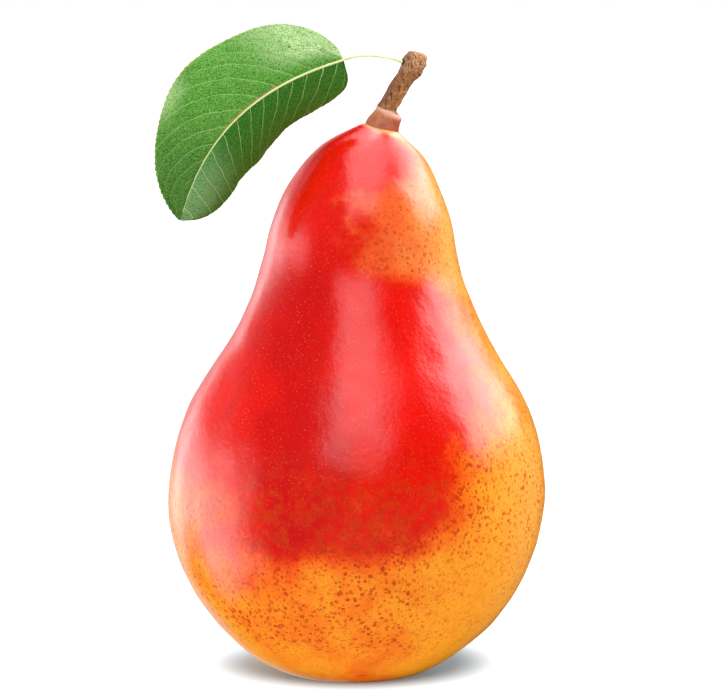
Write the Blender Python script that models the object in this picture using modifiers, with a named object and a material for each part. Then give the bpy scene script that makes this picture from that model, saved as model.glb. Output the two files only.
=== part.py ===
"""A ripe pear with its woody stem and one leaf, standing on the small flat of its foot.

The fruit is one turned body that leans a little and is faintly lobed. The stem's fleshy foot stands in a socket
in the crown, the leaf hangs from the stem's knob by a thin stalk, and the dried calyx sits in the basin below.
Lengths are in metres, +Z is up, and the origin is under the middle of the whole thing.
"""
import math

import bmesh
import bpy
import numpy as np
from mathutils import Vector, noise

MM = 0.001
GAP = 0.3 * MM

# The fruit's axis, which is not the middle of the whole thing because the leaf reaches past the belly
AXIS_X = 1.12 * MM

# Fruit: knots of the turned outline and how far its curves pull at each of them
CROWN_HEIGHT = 105.9 * MM
CROWN_PULL = 5.0 * MM
NECK_RADIUS = 18.0 * MM
NECK_HEIGHT = 83.5 * MM
NECK_TAPER = 0.17
NECK_PULL_UP = 13.3 * MM
NECK_PULL_DOWN = 24.7 * MM
BELLY_RADIUS = 36.0 * MM
BELLY_HEIGHT = 34.4 * MM
BELLY_PULL_UP = 23.3 * MM
BELLY_PULL_DOWN = 22.0 * MM
FOOT_RADIUS = 10.4 * MM
FOOT_PULL = 6.3 * MM
FOOT_INNER_RADIUS = 8.4 * MM
BASIN_DEPTH = 5.6 * MM
BASIN_RIM_PULL = 2.0 * MM
BASIN_FLOOR_PULL = 3.0 * MM
ROOT_HOLE_RADIUS = 2.2 * MM
ROOT_HOLE_DEPTH = 2.0 * MM
OUTLINE_STEPS = 12
BASIN_STEPS = 6
FRUIT_SIDES = 48

# Fruit: how the grown body leaves the turned one
LEAN = 0.019
LEAN_FREE_HEIGHT = 36.0 * MM
CROWN_SHIFT = 1.4 * MM
CROWN_SHIFT_START = 101.5 * MM
SWELL = 0.006
FOOT_LOBE = 0.012
FOOT_LOBE_HEIGHT = 5.0 * MM
FOOT_LOBE_REACH = 4.0 * MM
FOOT_LOBES = 5

# Stem: middle of each section as X from the fruit's axis and height, then the section's radius
STEM_SECTIONS = (
    (4.2 * MM, 100.9 * MM, 2.90 * MM),
    (4.8 * MM, 104.0 * MM, 2.90 * MM),
    (5.2 * MM, 106.0 * MM, 3.05 * MM),
    (5.6 * MM, 107.2 * MM, 2.55 * MM),
    (6.1 * MM, 108.8 * MM, 1.85 * MM),
    (7.9 * MM, 112.0 * MM, 1.88 * MM),
    (9.5 * MM, 114.6 * MM, 1.70 * MM),
    (10.3 * MM, 115.8 * MM, 2.05 * MM),
    (11.0 * MM, 117.1 * MM, 2.30 * MM),
    (11.4 * MM, 118.4 * MM, 2.05 * MM),
    (11.5 * MM, 119.3 * MM, 1.10 * MM),
)
KNOB_HEIGHT = 117.2 * MM
KNOB_REACH = 2.4 * MM
KNOB_GNARL = 0.22 * MM
BARK_GNARL = 0.05 * MM
GNARL_SCALE = 620.0
SCAR_RADIUS = 0.9 * MM
SCAR_HEIGHT = 0.35 * MM
SOCKET_SIDES = 32

# Leaf stalk: its route from the knob to the blade, each point as X from the axis, Y and height
STALK_ROUTE = (
    (8.35 * MM, -1.40 * MM, 117.62 * MM),
    (5.60 * MM, -2.50 * MM, 118.40 * MM),
    (3.30 * MM, -3.20 * MM, 118.70 * MM),
    (1.20 * MM, -3.90 * MM, 118.78 * MM),
    (-0.90 * MM, -4.50 * MM, 118.56 * MM),
    (-1.75 * MM, -4.80 * MM, 118.36 * MM),
)
STALK_RADIUS = 0.33 * MM

# Leaf blade: its midrib as a cubic curve from stalk to tip, and the shape of each half
RIB_BASE = (-2.5 * MM, -5.0 * MM, 118.1 * MM)
RIB_BASE_PULL = (-19.8 * MM, -10.0 * MM, 113.1 * MM)
RIB_TIP_PULL = (-28.7 * MM, -15.0 * MM, 103.9 * MM)
RIB_TIP = (-33.1 * MM, -9.0 * MM, 88.2 * MM)
BLADE_ROLL_BASE = math.radians(-12.0)
BLADE_ROLL_TIP = math.radians(-14.0)
BLADE_THICKNESS = 0.7 * MM
BLADE_END_WIDTH = 0.35 * MM
KEEL_DEPTH = 0.35 * MM
TOOTH_DEPTH = 0.4 * MM
TOOTH_SWEEP = 0.35
BLADE_COLUMNS = 72
BLADE_ROWS = 8
ROW_CROWDING = 1.6
RIB_SAMPLES = 240

# Calyx: a short dried cup with five sepals that bend back into the basin
CALYX_RADIUS = 1.9 * MM
CALYX_TOP = 7.3 * MM
CALYX_WAIST = 5.2 * MM
CALYX_LIP_RADIUS = 2.7 * MM
CALYX_LIP_HEIGHT = 4.3 * MM
CALYX_MOUTH_RADIUS = 1.2 * MM
CALYX_FLOOR = 5.0 * MM
CALYX_SIDES = 20
SEPALS = 5
SEPAL_ROUTE = ((1.45 * MM, 5.1 * MM), (3.4 * MM, 4.9 * MM), (5.0 * MM, 3.6 * MM), (5.2 * MM, 1.7 * MM))
SEPAL_ROOT_WIDTH = 1.5 * MM
SEPAL_WIDTH = 2.4 * MM
SEPAL_TIP_WIDTH = 0.6 * MM
SEPAL_THICKNESS = 0.6 * MM
SEPAL_HOLLOW = 0.5 * MM
SEPAL_COLUMNS = 7
SEPAL_ROWS = 4


class HalfBlade:
    """One half of the leaf blade: its outline beside the midrib and how it arches back."""

    def __init__(self, side, width, base_power, tip_power, sweep, lobe, tilt, arch, wave):
        self.side = side
        self.width = width
        self.base_power = base_power
        self.tip_power = tip_power
        self.sweep = sweep
        self.lobe = lobe
        self.tilt = math.radians(tilt)
        self.arch = math.radians(arch)
        self.wave = wave

    def half_width(self, t):
        """Width of this half at t, 0 at the stalk and 1 at the tip."""
        widest = self.base_power / (self.base_power + self.tip_power)
        rise = (t / widest) ** self.base_power * ((1 - t) / (1 - widest)) ** self.tip_power
        return BLADE_END_WIDTH + (self.width - BLADE_END_WIDTH) * rise

    def margin_shift(self, t):
        """How far the margin at t lies towards the tip, as a share of the midrib."""
        return self.sweep * math.sin(math.pi * t) - self.lobe * math.sqrt(t) * (1 - t) ** 6

    def across_and_back(self, share, b):
        """Distance out from the midrib and back from the eye, at b along the arched section."""
        bend = self.arch / self.width
        angle = self.tilt + bend * b
        out = (math.sin(angle) - math.sin(self.tilt)) / bend
        back = (math.cos(self.tilt) - math.cos(angle)) / bend
        return out, back


UPPER_HALF = HalfBlade(1, 13.6 * MM, 0.62, 0.94, 0.06, 0.01, tilt=8, arch=34, wave=0.7 * MM)
LOWER_HALF = HalfBlade(-1, 11.8 * MM, 0.30, 0.34, 0.09, 0.25, tilt=14, arch=36, wave=0.4 * MM)
WAVES = 2.3
WAVE_START = 0.15


def clear_scene():
    """Remove what the opened file holds."""
    for item in list(bpy.data.objects):
        bpy.data.objects.remove(item)


def new_collection(name):
    """A collection in the scene."""
    collection = bpy.data.collections.new(name)
    bpy.context.scene.collection.children.link(collection)
    return collection


def new_material(name, colour, roughness, subsurface=0.0):
    """A plain Principled material."""
    material = bpy.data.materials.new(name)
    material.use_nodes = True
    shader = material.node_tree.nodes["Principled BSDF"]
    shader.inputs["Base Color"].default_value = (*colour, 1.0)
    shader.inputs["Roughness"].default_value = roughness
    shader.inputs["Metallic"].default_value = 0.0
    shader.inputs["Subsurface Weight"].default_value = subsurface
    return material


def add_object(name, data, collection):
    """An object in a collection."""
    item = bpy.data.objects.new(name, data)
    collection.objects.link(item)
    return item


def evaluated_mesh(item):
    """The mesh that an object's modifiers or bevel give."""
    graph = bpy.context.evaluated_depsgraph_get()
    return bpy.data.meshes.new_from_object(item.evaluated_get(graph))


def freeze(item):
    """Replace an object by one whose mesh already holds what its modifiers make."""
    mesh = evaluated_mesh(item)
    name = item.name
    collection = item.users_collection[0]
    matrix = item.matrix_world.copy()
    bpy.data.objects.remove(item)
    frozen = add_object(name, mesh, collection)
    frozen.matrix_world = matrix
    return frozen


def weld(mesh):
    """Join the loose caps of a converted curve to its wall."""
    shape = bmesh.new()
    shape.from_mesh(mesh)
    bmesh.ops.remove_doubles(shape, verts=shape.verts, dist=0.001 * MM)
    bmesh.ops.recalc_face_normals(shape, faces=shape.faces)
    shape.to_mesh(mesh)
    shape.free()


def finish(item, material, sharp_degrees=50.0):
    """Smooth shading and a material."""
    item.data.materials.clear()
    item.data.materials.append(material)
    item.data.shade_smooth()
    item.data.set_sharp_from_angle(angle=math.radians(sharp_degrees))


def lean_x(height):
    """How far the fruit's middle has leant from its axis at a height, most of all where the stem pulls it."""
    top = min(max((height - CROWN_SHIFT_START) / (CROWN_HEIGHT - CROWN_SHIFT_START), 0.0), 1.0)
    return LEAN * (height - LEAN_FREE_HEIGHT) + CROWN_SHIFT * top * top * (3 - 2 * top)


def cubic(points, s):
    """A point of a cubic curve, from its four control points."""
    a, b, c, d = (np.array(p) for p in points)
    r = 1 - s
    return r ** 3 * a + 3 * r * r * s * b + 3 * r * s * s * c + s ** 3 * d


def cubic_run(points, steps):
    """Points along a cubic curve, without its first one."""
    return [tuple(cubic(points, (i + 1) / steps)) for i in range(steps)]


def fruit_outline():
    """Radius and height from the crown, down the outside, and up the basin to the axis."""
    crown = (0.0, CROWN_HEIGHT)
    neck = (NECK_RADIUS, NECK_HEIGHT)
    belly = (BELLY_RADIUS, BELLY_HEIGHT)
    foot = (FOOT_RADIUS, 0.0)
    rim = (FOOT_INNER_RADIUS, 0.0)
    floor = (ROOT_HOLE_RADIUS, BASIN_DEPTH)
    above_neck = (NECK_RADIUS - NECK_TAPER * NECK_PULL_UP, NECK_HEIGHT + NECK_PULL_UP)
    below_neck = (NECK_RADIUS + NECK_TAPER * NECK_PULL_DOWN, NECK_HEIGHT - NECK_PULL_DOWN)
    above_belly = (BELLY_RADIUS, BELLY_HEIGHT + BELLY_PULL_UP)
    below_belly = (BELLY_RADIUS, BELLY_HEIGHT - BELLY_PULL_DOWN)
    outline = [crown]
    outline += cubic_run((crown, (CROWN_PULL, CROWN_HEIGHT), above_neck, neck), OUTLINE_STEPS)
    outline += cubic_run((neck, below_neck, above_belly, belly), OUTLINE_STEPS)
    outline += cubic_run((belly, below_belly, (FOOT_RADIUS + FOOT_PULL, 0.0), foot), OUTLINE_STEPS)
    outline.append(rim)
    rim_pull = (FOOT_INNER_RADIUS - BASIN_RIM_PULL, 0.0)
    floor_pull = (ROOT_HOLE_RADIUS + BASIN_FLOOR_PULL, BASIN_DEPTH)
    outline += cubic_run((rim, rim_pull, floor_pull, floor), BASIN_STEPS)
    outline.append((ROOT_HOLE_RADIUS, BASIN_DEPTH + ROOT_HOLE_DEPTH))
    outline.append((0.0, BASIN_DEPTH + ROOT_HOLE_DEPTH))
    return outline


def turned(name, outline, sides, collection):
    """A body turned about Z from an outline that runs down its outer side."""
    mesh = bpy.data.meshes.new(name)
    points = [(radius, 0.0, height) for radius, height in outline]
    mesh.from_pydata(points, [(i, i + 1) for i in range(len(points) - 1)], [])
    item = add_object(name, mesh, collection)
    screw = item.modifiers.new("turn", "SCREW")
    screw.steps = sides
    screw.render_steps = sides
    screw.use_merge_vertices = True
    screw.merge_threshold = 0.01 * MM
    screw.use_smooth_shade = True
    return freeze(item)


def grow(point):
    """Carry a point of the turned body to the grown one: swollen, lobed at the foot and leaning."""
    turn = math.atan2(point.y, point.x)
    height = point.z
    swell = 0.6 * math.sin(2 * turn + 0.5) + 0.4 * math.cos(3 * turn)
    swell *= SWELL * math.sin(math.pi * min(max(height / CROWN_HEIGHT, 0.0), 1.0))
    lobe = math.cos(FOOT_LOBES * turn) * math.exp(-((height - FOOT_LOBE_HEIGHT) / FOOT_LOBE_REACH) ** 2)
    outer = math.hypot(point.x, point.y) > FOOT_RADIUS
    scale = 1 + swell + (FOOT_LOBE * lobe if outer else 0.0)
    return Vector((point.x * scale + lean_x(height), point.y * scale, height))


def make_stem_socket(cutters):
    """The round hole in the crown that the stem's foot stands in."""
    low = Vector((STEM_SECTIONS[0][0], 0.0, STEM_SECTIONS[0][1]))
    high = Vector((STEM_SECTIONS[2][0], 0.0, STEM_SECTIONS[2][1]))
    along = (high - low).normalized()
    length = (high - low).length + 4 * GAP
    shape = bmesh.new()
    radius = STEM_SECTIONS[0][2] + GAP
    bmesh.ops.create_cone(shape, cap_ends=True, segments=SOCKET_SIDES, radius1=radius, radius2=radius, depth=length)
    mesh = bpy.data.meshes.new("stem_socket")
    shape.to_mesh(mesh)
    shape.free()
    cutter = add_object("stem_socket", mesh, cutters)
    cutter.location = low - along * GAP + along * length / 2
    cutter.rotation_euler = along.to_track_quat("Z", "Y").to_euler()
    cutter.hide_render = True
    cutter.display_type = "WIRE"
    return cutter


def make_fruit(parts, cutters, axis):
    """The pear's body, one solid with the basin below and the stem's socket in the crown."""
    fruit = turned("fruit", fruit_outline(), FRUIT_SIDES, parts)
    for vertex in fruit.data.vertices:
        vertex.co = grow(vertex.co)
    socket = make_stem_socket(cutters)
    cut = fruit.modifiers.new("stem socket", "BOOLEAN")
    cut.operation = "DIFFERENCE"
    cut.solver = "EXACT"
    cut.object = socket
    finish(fruit, new_material("pear skin", (0.80, 0.22, 0.05), 0.35, subsurface=0.1))
    fruit.parent = axis
    socket.parent = axis


def tube(name, points, radii, sides_level, steps, collection):
    """A smooth tube through points, as a mesh with its caps welded on."""
    curve = bpy.data.curves.new(name, "CURVE")
    curve.dimensions = "3D"
    curve.bevel_depth = 1.0
    curve.bevel_resolution = sides_level
    curve.resolution_u = steps
    curve.use_fill_caps = True
    spline = curve.splines.new("BEZIER")
    spline.bezier_points.add(len(points) - 1)
    for knot, place, radius in zip(spline.bezier_points, points, radii):
        knot.co = place
        knot.radius = radius
        knot.handle_left_type = "AUTO"
        knot.handle_right_type = "AUTO"
    item = freeze(add_object(name, curve, collection))
    weld(item.data)
    return item


def gnarl(point):
    """Carry a point of the smooth stem to the gnarled one, with the leaf's cushion on its knob."""
    middle_x = np.interp(point.z, [s[1] for s in STEM_SECTIONS], [s[0] for s in STEM_SECTIONS])
    outward = Vector((point.x - middle_x, point.y, 0.0))
    if outward.length < GAP:
        return point
    knob = math.exp(-((point.z - KNOB_HEIGHT) / KNOB_REACH) ** 2)
    above_foot = min(max((point.z - STEM_SECTIONS[3][1]) / (2 * MM), 0.0), 1.0)
    bump = noise.noise(point * GNARL_SCALE) * (BARK_GNARL * above_foot + KNOB_GNARL * knob)
    scar = Vector(STALK_ROUTE[0])
    reach = (point - scar).length / (2 * SCAR_RADIUS)
    bump += SCAR_HEIGHT * math.exp(-reach * reach)
    return point + outward.normalized() * bump


def make_stem(parts, axis):
    """The stem: a fleshy foot with a shoulder, a thin woody shaft and a gnarled knob."""
    points = [(x, 0.0, height) for x, height, radius in STEM_SECTIONS]
    radii = [radius for x, height, radius in STEM_SECTIONS]
    stem = tube("stem", points, radii, 6, 3, parts)
    for vertex in stem.data.vertices:
        vertex.co = gnarl(vertex.co)
    finish(stem, new_material("stem bark", (0.30, 0.15, 0.07), 0.75))
    stem.parent = axis


def make_leaf_stalk(parts, axis):
    """The leaf's thin stalk, clear of the knob and of the blade by a small gap."""
    stalk = tube("leaf_stalk", STALK_ROUTE, [STALK_RADIUS] * len(STALK_ROUTE), 2, 4, parts)
    finish(stalk, new_material("leaf stalk", (0.72, 0.74, 0.30), 0.5))
    stalk.parent = axis


class Midrib:
    """The curve that the blade is hung on, measured along its length."""

    def __init__(self):
        self.knots = (RIB_BASE, RIB_BASE_PULL, RIB_TIP_PULL, RIB_TIP)
        self.share = np.linspace(0, 1, RIB_SAMPLES)
        places = np.array([cubic(self.knots, s) for s in self.share])
        steps = np.linalg.norm(np.diff(places, axis=0), axis=1)
        self.travelled = np.concatenate([[0.0], np.cumsum(steps)])
        self.length = self.travelled[-1]

    def frame(self, distance):
        """Place, direction to the tip, direction to the eye and direction to the upper half."""
        s = float(np.interp(distance, self.travelled, self.share))
        a, b, c, d = (np.array(p) for p in self.knots)
        heading = (1 - s) ** 2 * (b - a) + 2 * (1 - s) * s * (c - b) + s * s * (d - c)
        heading = Vector(heading).normalized()
        place = Vector(cubic(self.knots, s)) + heading * min(distance, 0.0)
        eye = Vector((0.0, -1.0, 0.0))
        eye = (eye - heading * heading.dot(eye)).normalized()
        side = heading.cross(eye)
        along = min(max(distance / self.length, 0.0), 1.0)
        roll = BLADE_ROLL_BASE + (BLADE_ROLL_TIP - BLADE_ROLL_BASE) * along
        turned_eye = eye * math.cos(roll) + side * math.sin(roll)
        turned_side = side * math.cos(roll) - eye * math.sin(roll)
        return place, heading, turned_eye, turned_side


def blade_point(rib, t, v, tooth):
    """A point of the blade's middle surface, t along it and v across it, with v -1 and 1 at the margins."""
    half = UPPER_HALF if v > 0 else LOWER_HALF
    share = abs(v)
    spread = share ** 1.3
    distance = rib.length * (t + spread * half.margin_shift(t)) + tooth * TOOTH_SWEEP * TOOTH_DEPTH
    out, back = half.across_and_back(share, half.half_width(t) * share + tooth * TOOTH_DEPTH)
    place, heading, eye, side = rib.frame(distance)
    wave = half.wave * share * share * math.sin(2 * math.pi * (WAVES * t + WAVE_START)) * math.sin(math.pi * t)
    keel = KEEL_DEPTH if share == 0 else 0.0
    return place + side * (half.side * out) + eye * (wave - back - keel)


def make_leaf_blade(parts, axis):
    """The leaf: an arched, slightly waved blade with a keel and a saw-toothed edge."""
    bpy.ops.mesh.primitive_grid_add(x_subdivisions=BLADE_COLUMNS, y_subdivisions=BLADE_ROWS, size=2)
    blade = bpy.context.object
    blade.name = "leaf_blade"
    for collection in list(blade.users_collection):
        collection.objects.unlink(blade)
    parts.objects.link(blade)
    rib = Midrib()
    for vertex in blade.data.vertices:
        t = min(max((vertex.co.x + 1) / 2, 0.0), 1.0)
        column = round(t * BLADE_COLUMNS)
        v = math.copysign(abs(vertex.co.y) ** ROW_CROWDING, vertex.co.y)
        if abs(v) < 1e-6:
            v = 0.0
        on_margin = abs(v) > 0.999 and 0 < column < BLADE_COLUMNS
        vertex.co = blade_point(rib, t, v, 1.0 if on_margin and column % 2 else 0.0)
    split = blade.modifiers.new("split", "TRIANGULATE")
    split.quad_method = "FIXED"
    thicken = blade.modifiers.new("thicken", "SOLIDIFY")
    thicken.thickness = BLADE_THICKNESS
    thicken.offset = 0.0
    finish(blade, new_material("leaf blade", (0.10, 0.30, 0.06), 0.45), sharp_degrees=60)
    blade.parent = axis


def make_sepal(number, store):
    """One dried sepal, hollowed along its middle and bent back towards the basin's wall."""
    bpy.ops.mesh.primitive_grid_add(x_subdivisions=SEPAL_COLUMNS, y_subdivisions=SEPAL_ROWS, size=2)
    sepal = bpy.context.object
    sepal.name = f"sepal_{number}"
    for collection in list(sepal.users_collection):
        collection.objects.unlink(sepal)
    store.objects.link(sepal)
    turn = 2 * math.pi * number / SEPALS
    outward = Vector((math.cos(turn), math.sin(turn), 0.0))
    sideways = Vector((-math.sin(turn), math.cos(turn), 0.0))
    for vertex in sepal.data.vertices:
        t = (vertex.co.x + 1) / 2
        radius, height = cubic(SEPAL_ROUTE, t)
        width = float(np.interp(t, (0.0, 0.35, 1.0), (SEPAL_ROOT_WIDTH, SEPAL_WIDTH, SEPAL_TIP_WIDTH)))
        hollow = SEPAL_HOLLOW * vertex.co.y ** 2 * (1 - t)
        vertex.co = outward * radius + sideways * (vertex.co.y * width / 2) + Vector((0, 0, height - hollow))
    thicken = sepal.modifiers.new("thicken", "SOLIDIFY")
    thicken.thickness = SEPAL_THICKNESS
    thicken.offset = 0.0
    return sepal


def make_calyx(parts, cutters, axis):
    """The dried calyx: a short cup with five sepals, fused into one body."""
    outline = [(0.0, CALYX_TOP), (CALYX_RADIUS, CALYX_TOP), (CALYX_RADIUS, CALYX_WAIST)]
    outline += [(CALYX_LIP_RADIUS, CALYX_LIP_HEIGHT), (CALYX_LIP_RADIUS - GAP, CALYX_LIP_HEIGHT - GAP)]
    outline += [(CALYX_MOUTH_RADIUS, CALYX_FLOOR), (0.0, CALYX_FLOOR)]
    calyx = turned("calyx", outline, CALYX_SIDES, parts)
    store = bpy.data.collections.new("sepals")
    cutters.children.link(store)
    for number in range(SEPALS):
        make_sepal(number, store)
    join = calyx.modifiers.new("sepals", "BOOLEAN")
    join.operation = "UNION"
    join.solver = "EXACT"
    join.operand_type = "COLLECTION"
    join.collection = store
    calyx = freeze(calyx)
    for sepal in list(store.objects):
        bpy.data.objects.remove(sepal)
    bpy.data.collections.remove(store)
    calyx.location = (lean_x(0.0), 0.0, 0.0)
    finish(calyx, new_material("dried calyx", (0.16, 0.10, 0.05), 0.85), sharp_degrees=40)
    calyx.parent = axis


def main():
    """Build the pear."""
    clear_scene()
    parts = new_collection("pear")
    cutters = new_collection("cutters")
    axis = add_object("fruit_axis", None, parts)
    axis.location = (AXIS_X, 0.0, 0.0)
    make_fruit(parts, cutters, axis)
    make_stem(parts, axis)
    make_leaf_stalk(parts, axis)
    make_leaf_blade(parts, axis)
    make_calyx(parts, cutters, axis)


main()
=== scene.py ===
"""Visual model of a ripe pear with its woody stem and one leaf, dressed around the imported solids.

Every piece is modelled in the solids' own frame, in metres. The fruit's axis is upright, +X is the side that
the stem leans to, and the eye looks along +Y from a little above.
"""
import logging
import math
from dataclasses import dataclass, field
from enum import Enum

import bmesh
import bpy
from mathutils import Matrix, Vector, noise

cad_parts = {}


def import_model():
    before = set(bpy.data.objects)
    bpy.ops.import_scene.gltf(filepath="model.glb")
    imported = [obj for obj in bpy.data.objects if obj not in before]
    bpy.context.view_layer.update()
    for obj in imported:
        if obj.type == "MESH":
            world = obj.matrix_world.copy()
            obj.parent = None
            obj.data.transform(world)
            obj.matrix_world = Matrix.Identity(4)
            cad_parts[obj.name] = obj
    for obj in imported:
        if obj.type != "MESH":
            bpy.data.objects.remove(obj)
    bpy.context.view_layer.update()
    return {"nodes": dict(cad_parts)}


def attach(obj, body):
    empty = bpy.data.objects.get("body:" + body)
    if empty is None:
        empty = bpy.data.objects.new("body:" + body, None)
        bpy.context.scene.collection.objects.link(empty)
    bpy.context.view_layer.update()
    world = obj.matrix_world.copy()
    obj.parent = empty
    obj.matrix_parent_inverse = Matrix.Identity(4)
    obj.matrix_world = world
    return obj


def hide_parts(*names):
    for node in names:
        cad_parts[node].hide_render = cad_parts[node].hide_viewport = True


LOG = logging.getLogger("pear")
MM = 0.001
AXIS_X = 1.12 * MM
Colour = tuple[float, float, float]
# A rise runs softly from 0 at its first value to 1 at its second.
Rise = tuple[float, float]


def smoothstep(value: float, low: float, high: float) -> float:
    """Rise softly from 0 at low to 1 at high."""
    t = min(max((value - low) / (high - low), 0.0), 1.0)
    return t * t * (3 - 2 * t)


def bell(away: float, reach: float) -> float:
    """Fall softly from 1 where away is 0 towards 0 past a reach."""
    return math.exp(-(away / reach) ** 2)


def cubic(a: Vector, b: Vector, c: Vector, d: Vector, s: float) -> Vector:
    """A point at s on the cubic curve from a to d, pulled by b and c."""
    r = 1 - s
    return r ** 3 * a + 3 * r * r * s * b + 3 * r * s * s * c + s ** 3 * d


def through(points: list[Vector], s: float) -> Vector:
    """A point on the smooth curve through points.

    Args:
        points: What the curve passes through, of any dimension.
        s: Place along the curve, 0 at the first point and 1 at the last.

    Returns:
        The point at s.
    """
    spans = len(points) - 1
    at = min(max(s, 0.0), 1.0) * spans
    i = min(int(at), spans - 1)
    t = at - i
    b, c = points[i], points[i + 1]
    a = points[i - 1] if i > 0 else 2 * b - c
    d = points[i + 2] if i + 2 <= spans else 2 * c - b
    bend = 2 * a - 5 * b + 4 * c - d
    twist = 3 * b - a - 3 * c + d
    return 0.5 * (2 * b + (c - a) * t + bend * t * t + twist * t ** 3)


class Side(Enum):
    """The two halves of the leaf blade, and how each lies beside the midrib."""

    UPPER = 1
    LOWER = -1


@dataclass(frozen=True)
class Mist:
    """A soft noise in the skin, and how far it pushes the edge of the blush."""

    scale: float
    detail: float
    roughness: float
    push: float
    upright: float = 1.0


@dataclass(frozen=True)
class Corner:
    """A round place on the skin's front that the blush fills, or leaves where its gain is below zero."""

    x: float
    z: float
    reach: float
    gain: float


@dataclass(frozen=True)
class DotSize:
    """One size of the skin's breathing dots: how close they lie, how big they are and how strong."""

    scale: float
    radius: float
    strength: float


@dataclass(frozen=True)
class SkinFinish:
    """The fruit's skin: its colours, its gloss, its noises, and where its blush and its coats end."""

    deep_red: Colour = (0.50, 0.001, 0.001)
    red: Colour = (0.68, 0.004, 0.001)
    rusty: Colour = (0.50, 0.040, 0.001)
    ember: Colour = (0.82, 0.118, 0.003)
    gold: Colour = (0.89, 0.332, 0.015)
    yellow: Colour = (0.88, 0.430, 0.095)
    peach: Colour = (0.93, 0.420, 0.180)
    rust_dot: Colour = (0.42, 0.024, 0.000)
    brown_dot: Colour = (0.58, 0.075, 0.001)
    pale_dot: Colour = (0.90, 0.200, 0.080)
    russet: Colour = (0.36, 0.170, 0.060)
    roughness: float = 0.42
    coat: float = 0.90
    coat_roughness: float = 0.195
    coat_ior: float = 1.47
    blush_azimuth_top: float = -36.0
    blush_azimuth_foot: float = -8.0
    edge_range: Rise = (-0.25, 1.25)
    blush_rise: Rise = (-0.80, 0.58)
    front_sides: Rise = (8.0 * MM, -8.0 * MM)
    # Share of the crown's height, and how far the skin there faces the sun where the blush ends.
    blush_edge: tuple[tuple[float, float], ...] = (
        (0.150, 1.25), (0.230, 1.12), (0.290, 0.90), (0.350, 0.80), (0.425, 0.57), (0.520, 0.25),
        (0.660, 0.08), (0.735, 0.20), (0.780, 0.22), (0.840, 0.22), (0.890, 0.08), (0.960, -0.12))
    blush_corners: tuple[Corner, ...] = (
        Corner(13.8 * MM, 36.2 * MM, 11.0 * MM, 0.36), Corner(-11.2 * MM, 35.6 * MM, 9.5 * MM, 0.42),
        Corner(-28.0 * MM, 20.0 * MM, 16.0 * MM, 0.15), Corner(28.5 * MM, 40.0 * MM, 12.0 * MM, -0.28),
        Corner(-3.4 * MM, 23.6 * MM, 8.0 * MM, -0.20))
    patch_levels: tuple[float, float, float, float] = (0.690, 0.760, 0.875, 0.960)
    patch_fade: float = 0.38
    cloud: Mist = Mist(55.0, 3.0, 0.55, 0.55)
    patches: Mist = Mist(170.0, 3.0, 0.60, 0.55)
    streaks: Mist = Mist(210.0, 3.0, 0.60, 0.36, 0.3)
    grain: Mist = Mist(1700.0, 2.0, 0.60, 0.46)
    dots: tuple[DotSize, ...] = (
        DotSize(700.0, 0.33, 0.80), DotSize(830.0, 0.31, 0.75), DotSize(1100.0, 0.30, 0.65))
    speck_scale: float = 1500.0
    speck_strength: float = 0.30
    patch_drift: float = 26.0 * MM
    patch_sides: Rise = (-13.0 * MM, 8.0 * MM)
    band_drift: float = 22.0 * MM
    band_sides: Rise = (12.0 * MM, 3.0 * MM)
    band_levels: Rise = (0.84, 0.70)
    sunless_sides: Rise = (-24.0 * MM, 8.0 * MM)
    sunless_share: float = 0.62
    neck_levels: Rise = (0.35, 0.80)
    sparse_sides: Rise = (6.0 * MM, 20.0 * MM)
    sparse_levels: Rise = (0.32, 0.20)
    collar_sides: Rise = (5.0 * MM, 3.6 * MM)
    russet_sides: Rise = (9.0 * MM, 3.5 * MM)
    russet_levels: Rise = (0.12, 0.02)
    pore_depth: float = 0.15 * MM


@dataclass(frozen=True)
class BarkFinish:
    """Colours of the stem, from its fleshy foot to its knob, and where each of them ends."""

    flesh: Colour = (0.46, 0.180, 0.105)
    flesh_red: Colour = (0.36, 0.070, 0.022)
    # Painted highlight at the top of the fleshy foot.
    flesh_highlight: Colour = (0.76, 0.440, 0.330)
    bark: Colour = (0.30, 0.120, 0.038)
    bark_dark: Colour = (0.075, 0.026, 0.013)
    # Painted shade on the stem's left side.
    shade_plum: Colour = (0.150, 0.055, 0.040)
    orange: Colour = (0.52, 0.220, 0.060)
    olive: Colour = (0.28, 0.170, 0.045)
    tan: Colour = (0.56, 0.330, 0.170)
    scar: Colour = (0.012, 0.007, 0.005)
    knob_levels: Rise = (114.8 * MM, 117.0 * MM)
    lobe_sides: Rise = (6.8 * MM, 9.0 * MM)
    lobe_levels: Rise = (108.0 * MM, 106.4 * MM)
    # Where the painted highlight at the top of the foot starts and is full.
    highlight_levels: Rise = (110.5 * MM, 111.7 * MM)
    bark_levels: Rise = (111.7 * MM, 112.0 * MM)
    border_raggedness: float = 1.0 * MM
    scar_core: float = 0.35 * MM


@dataclass(frozen=True)
class LeafFinish:
    """Colours of the leaf's two faces and of its stalk."""

    green: Colour = (0.058, 0.235, 0.012)
    green_dark: Colour = (0.003, 0.112, 0.001)
    net: Colour = (0.200, 0.450, 0.085)
    vein: Colour = (0.480, 0.700, 0.250)
    # Painted light: the pale of the sheen near the stalk and of the highlight on the rolled margin.
    pale: Colour = (0.700, 0.880, 0.460)
    rib: Colour = (0.660, 0.760, 0.300)
    # Painted shadow beside the midrib.
    rib_shadow: Colour = (0.420, 0.240, 0.070)
    # Painted shade on the upper half towards the tip.
    olive: Colour = (0.045, 0.125, 0.012)
    # Painted sheen on the lower half near the tip.
    tip_sheen: Colour = (0.210, 0.430, 0.190)
    edge: Colour = (0.420, 0.420, 0.110)
    underside: Colour = (0.230, 0.400, 0.140)
    stalk: Colour = (0.640, 0.720, 0.360)
    stalk_red: Colour = (0.52, 0.34, 0.10)


@dataclass(frozen=True)
class CalyxFinish:
    """Colours of the dried calyx."""

    husk: Colour = (0.085, 0.045, 0.022)
    husk_pale: Colour = (0.260, 0.170, 0.095)


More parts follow.
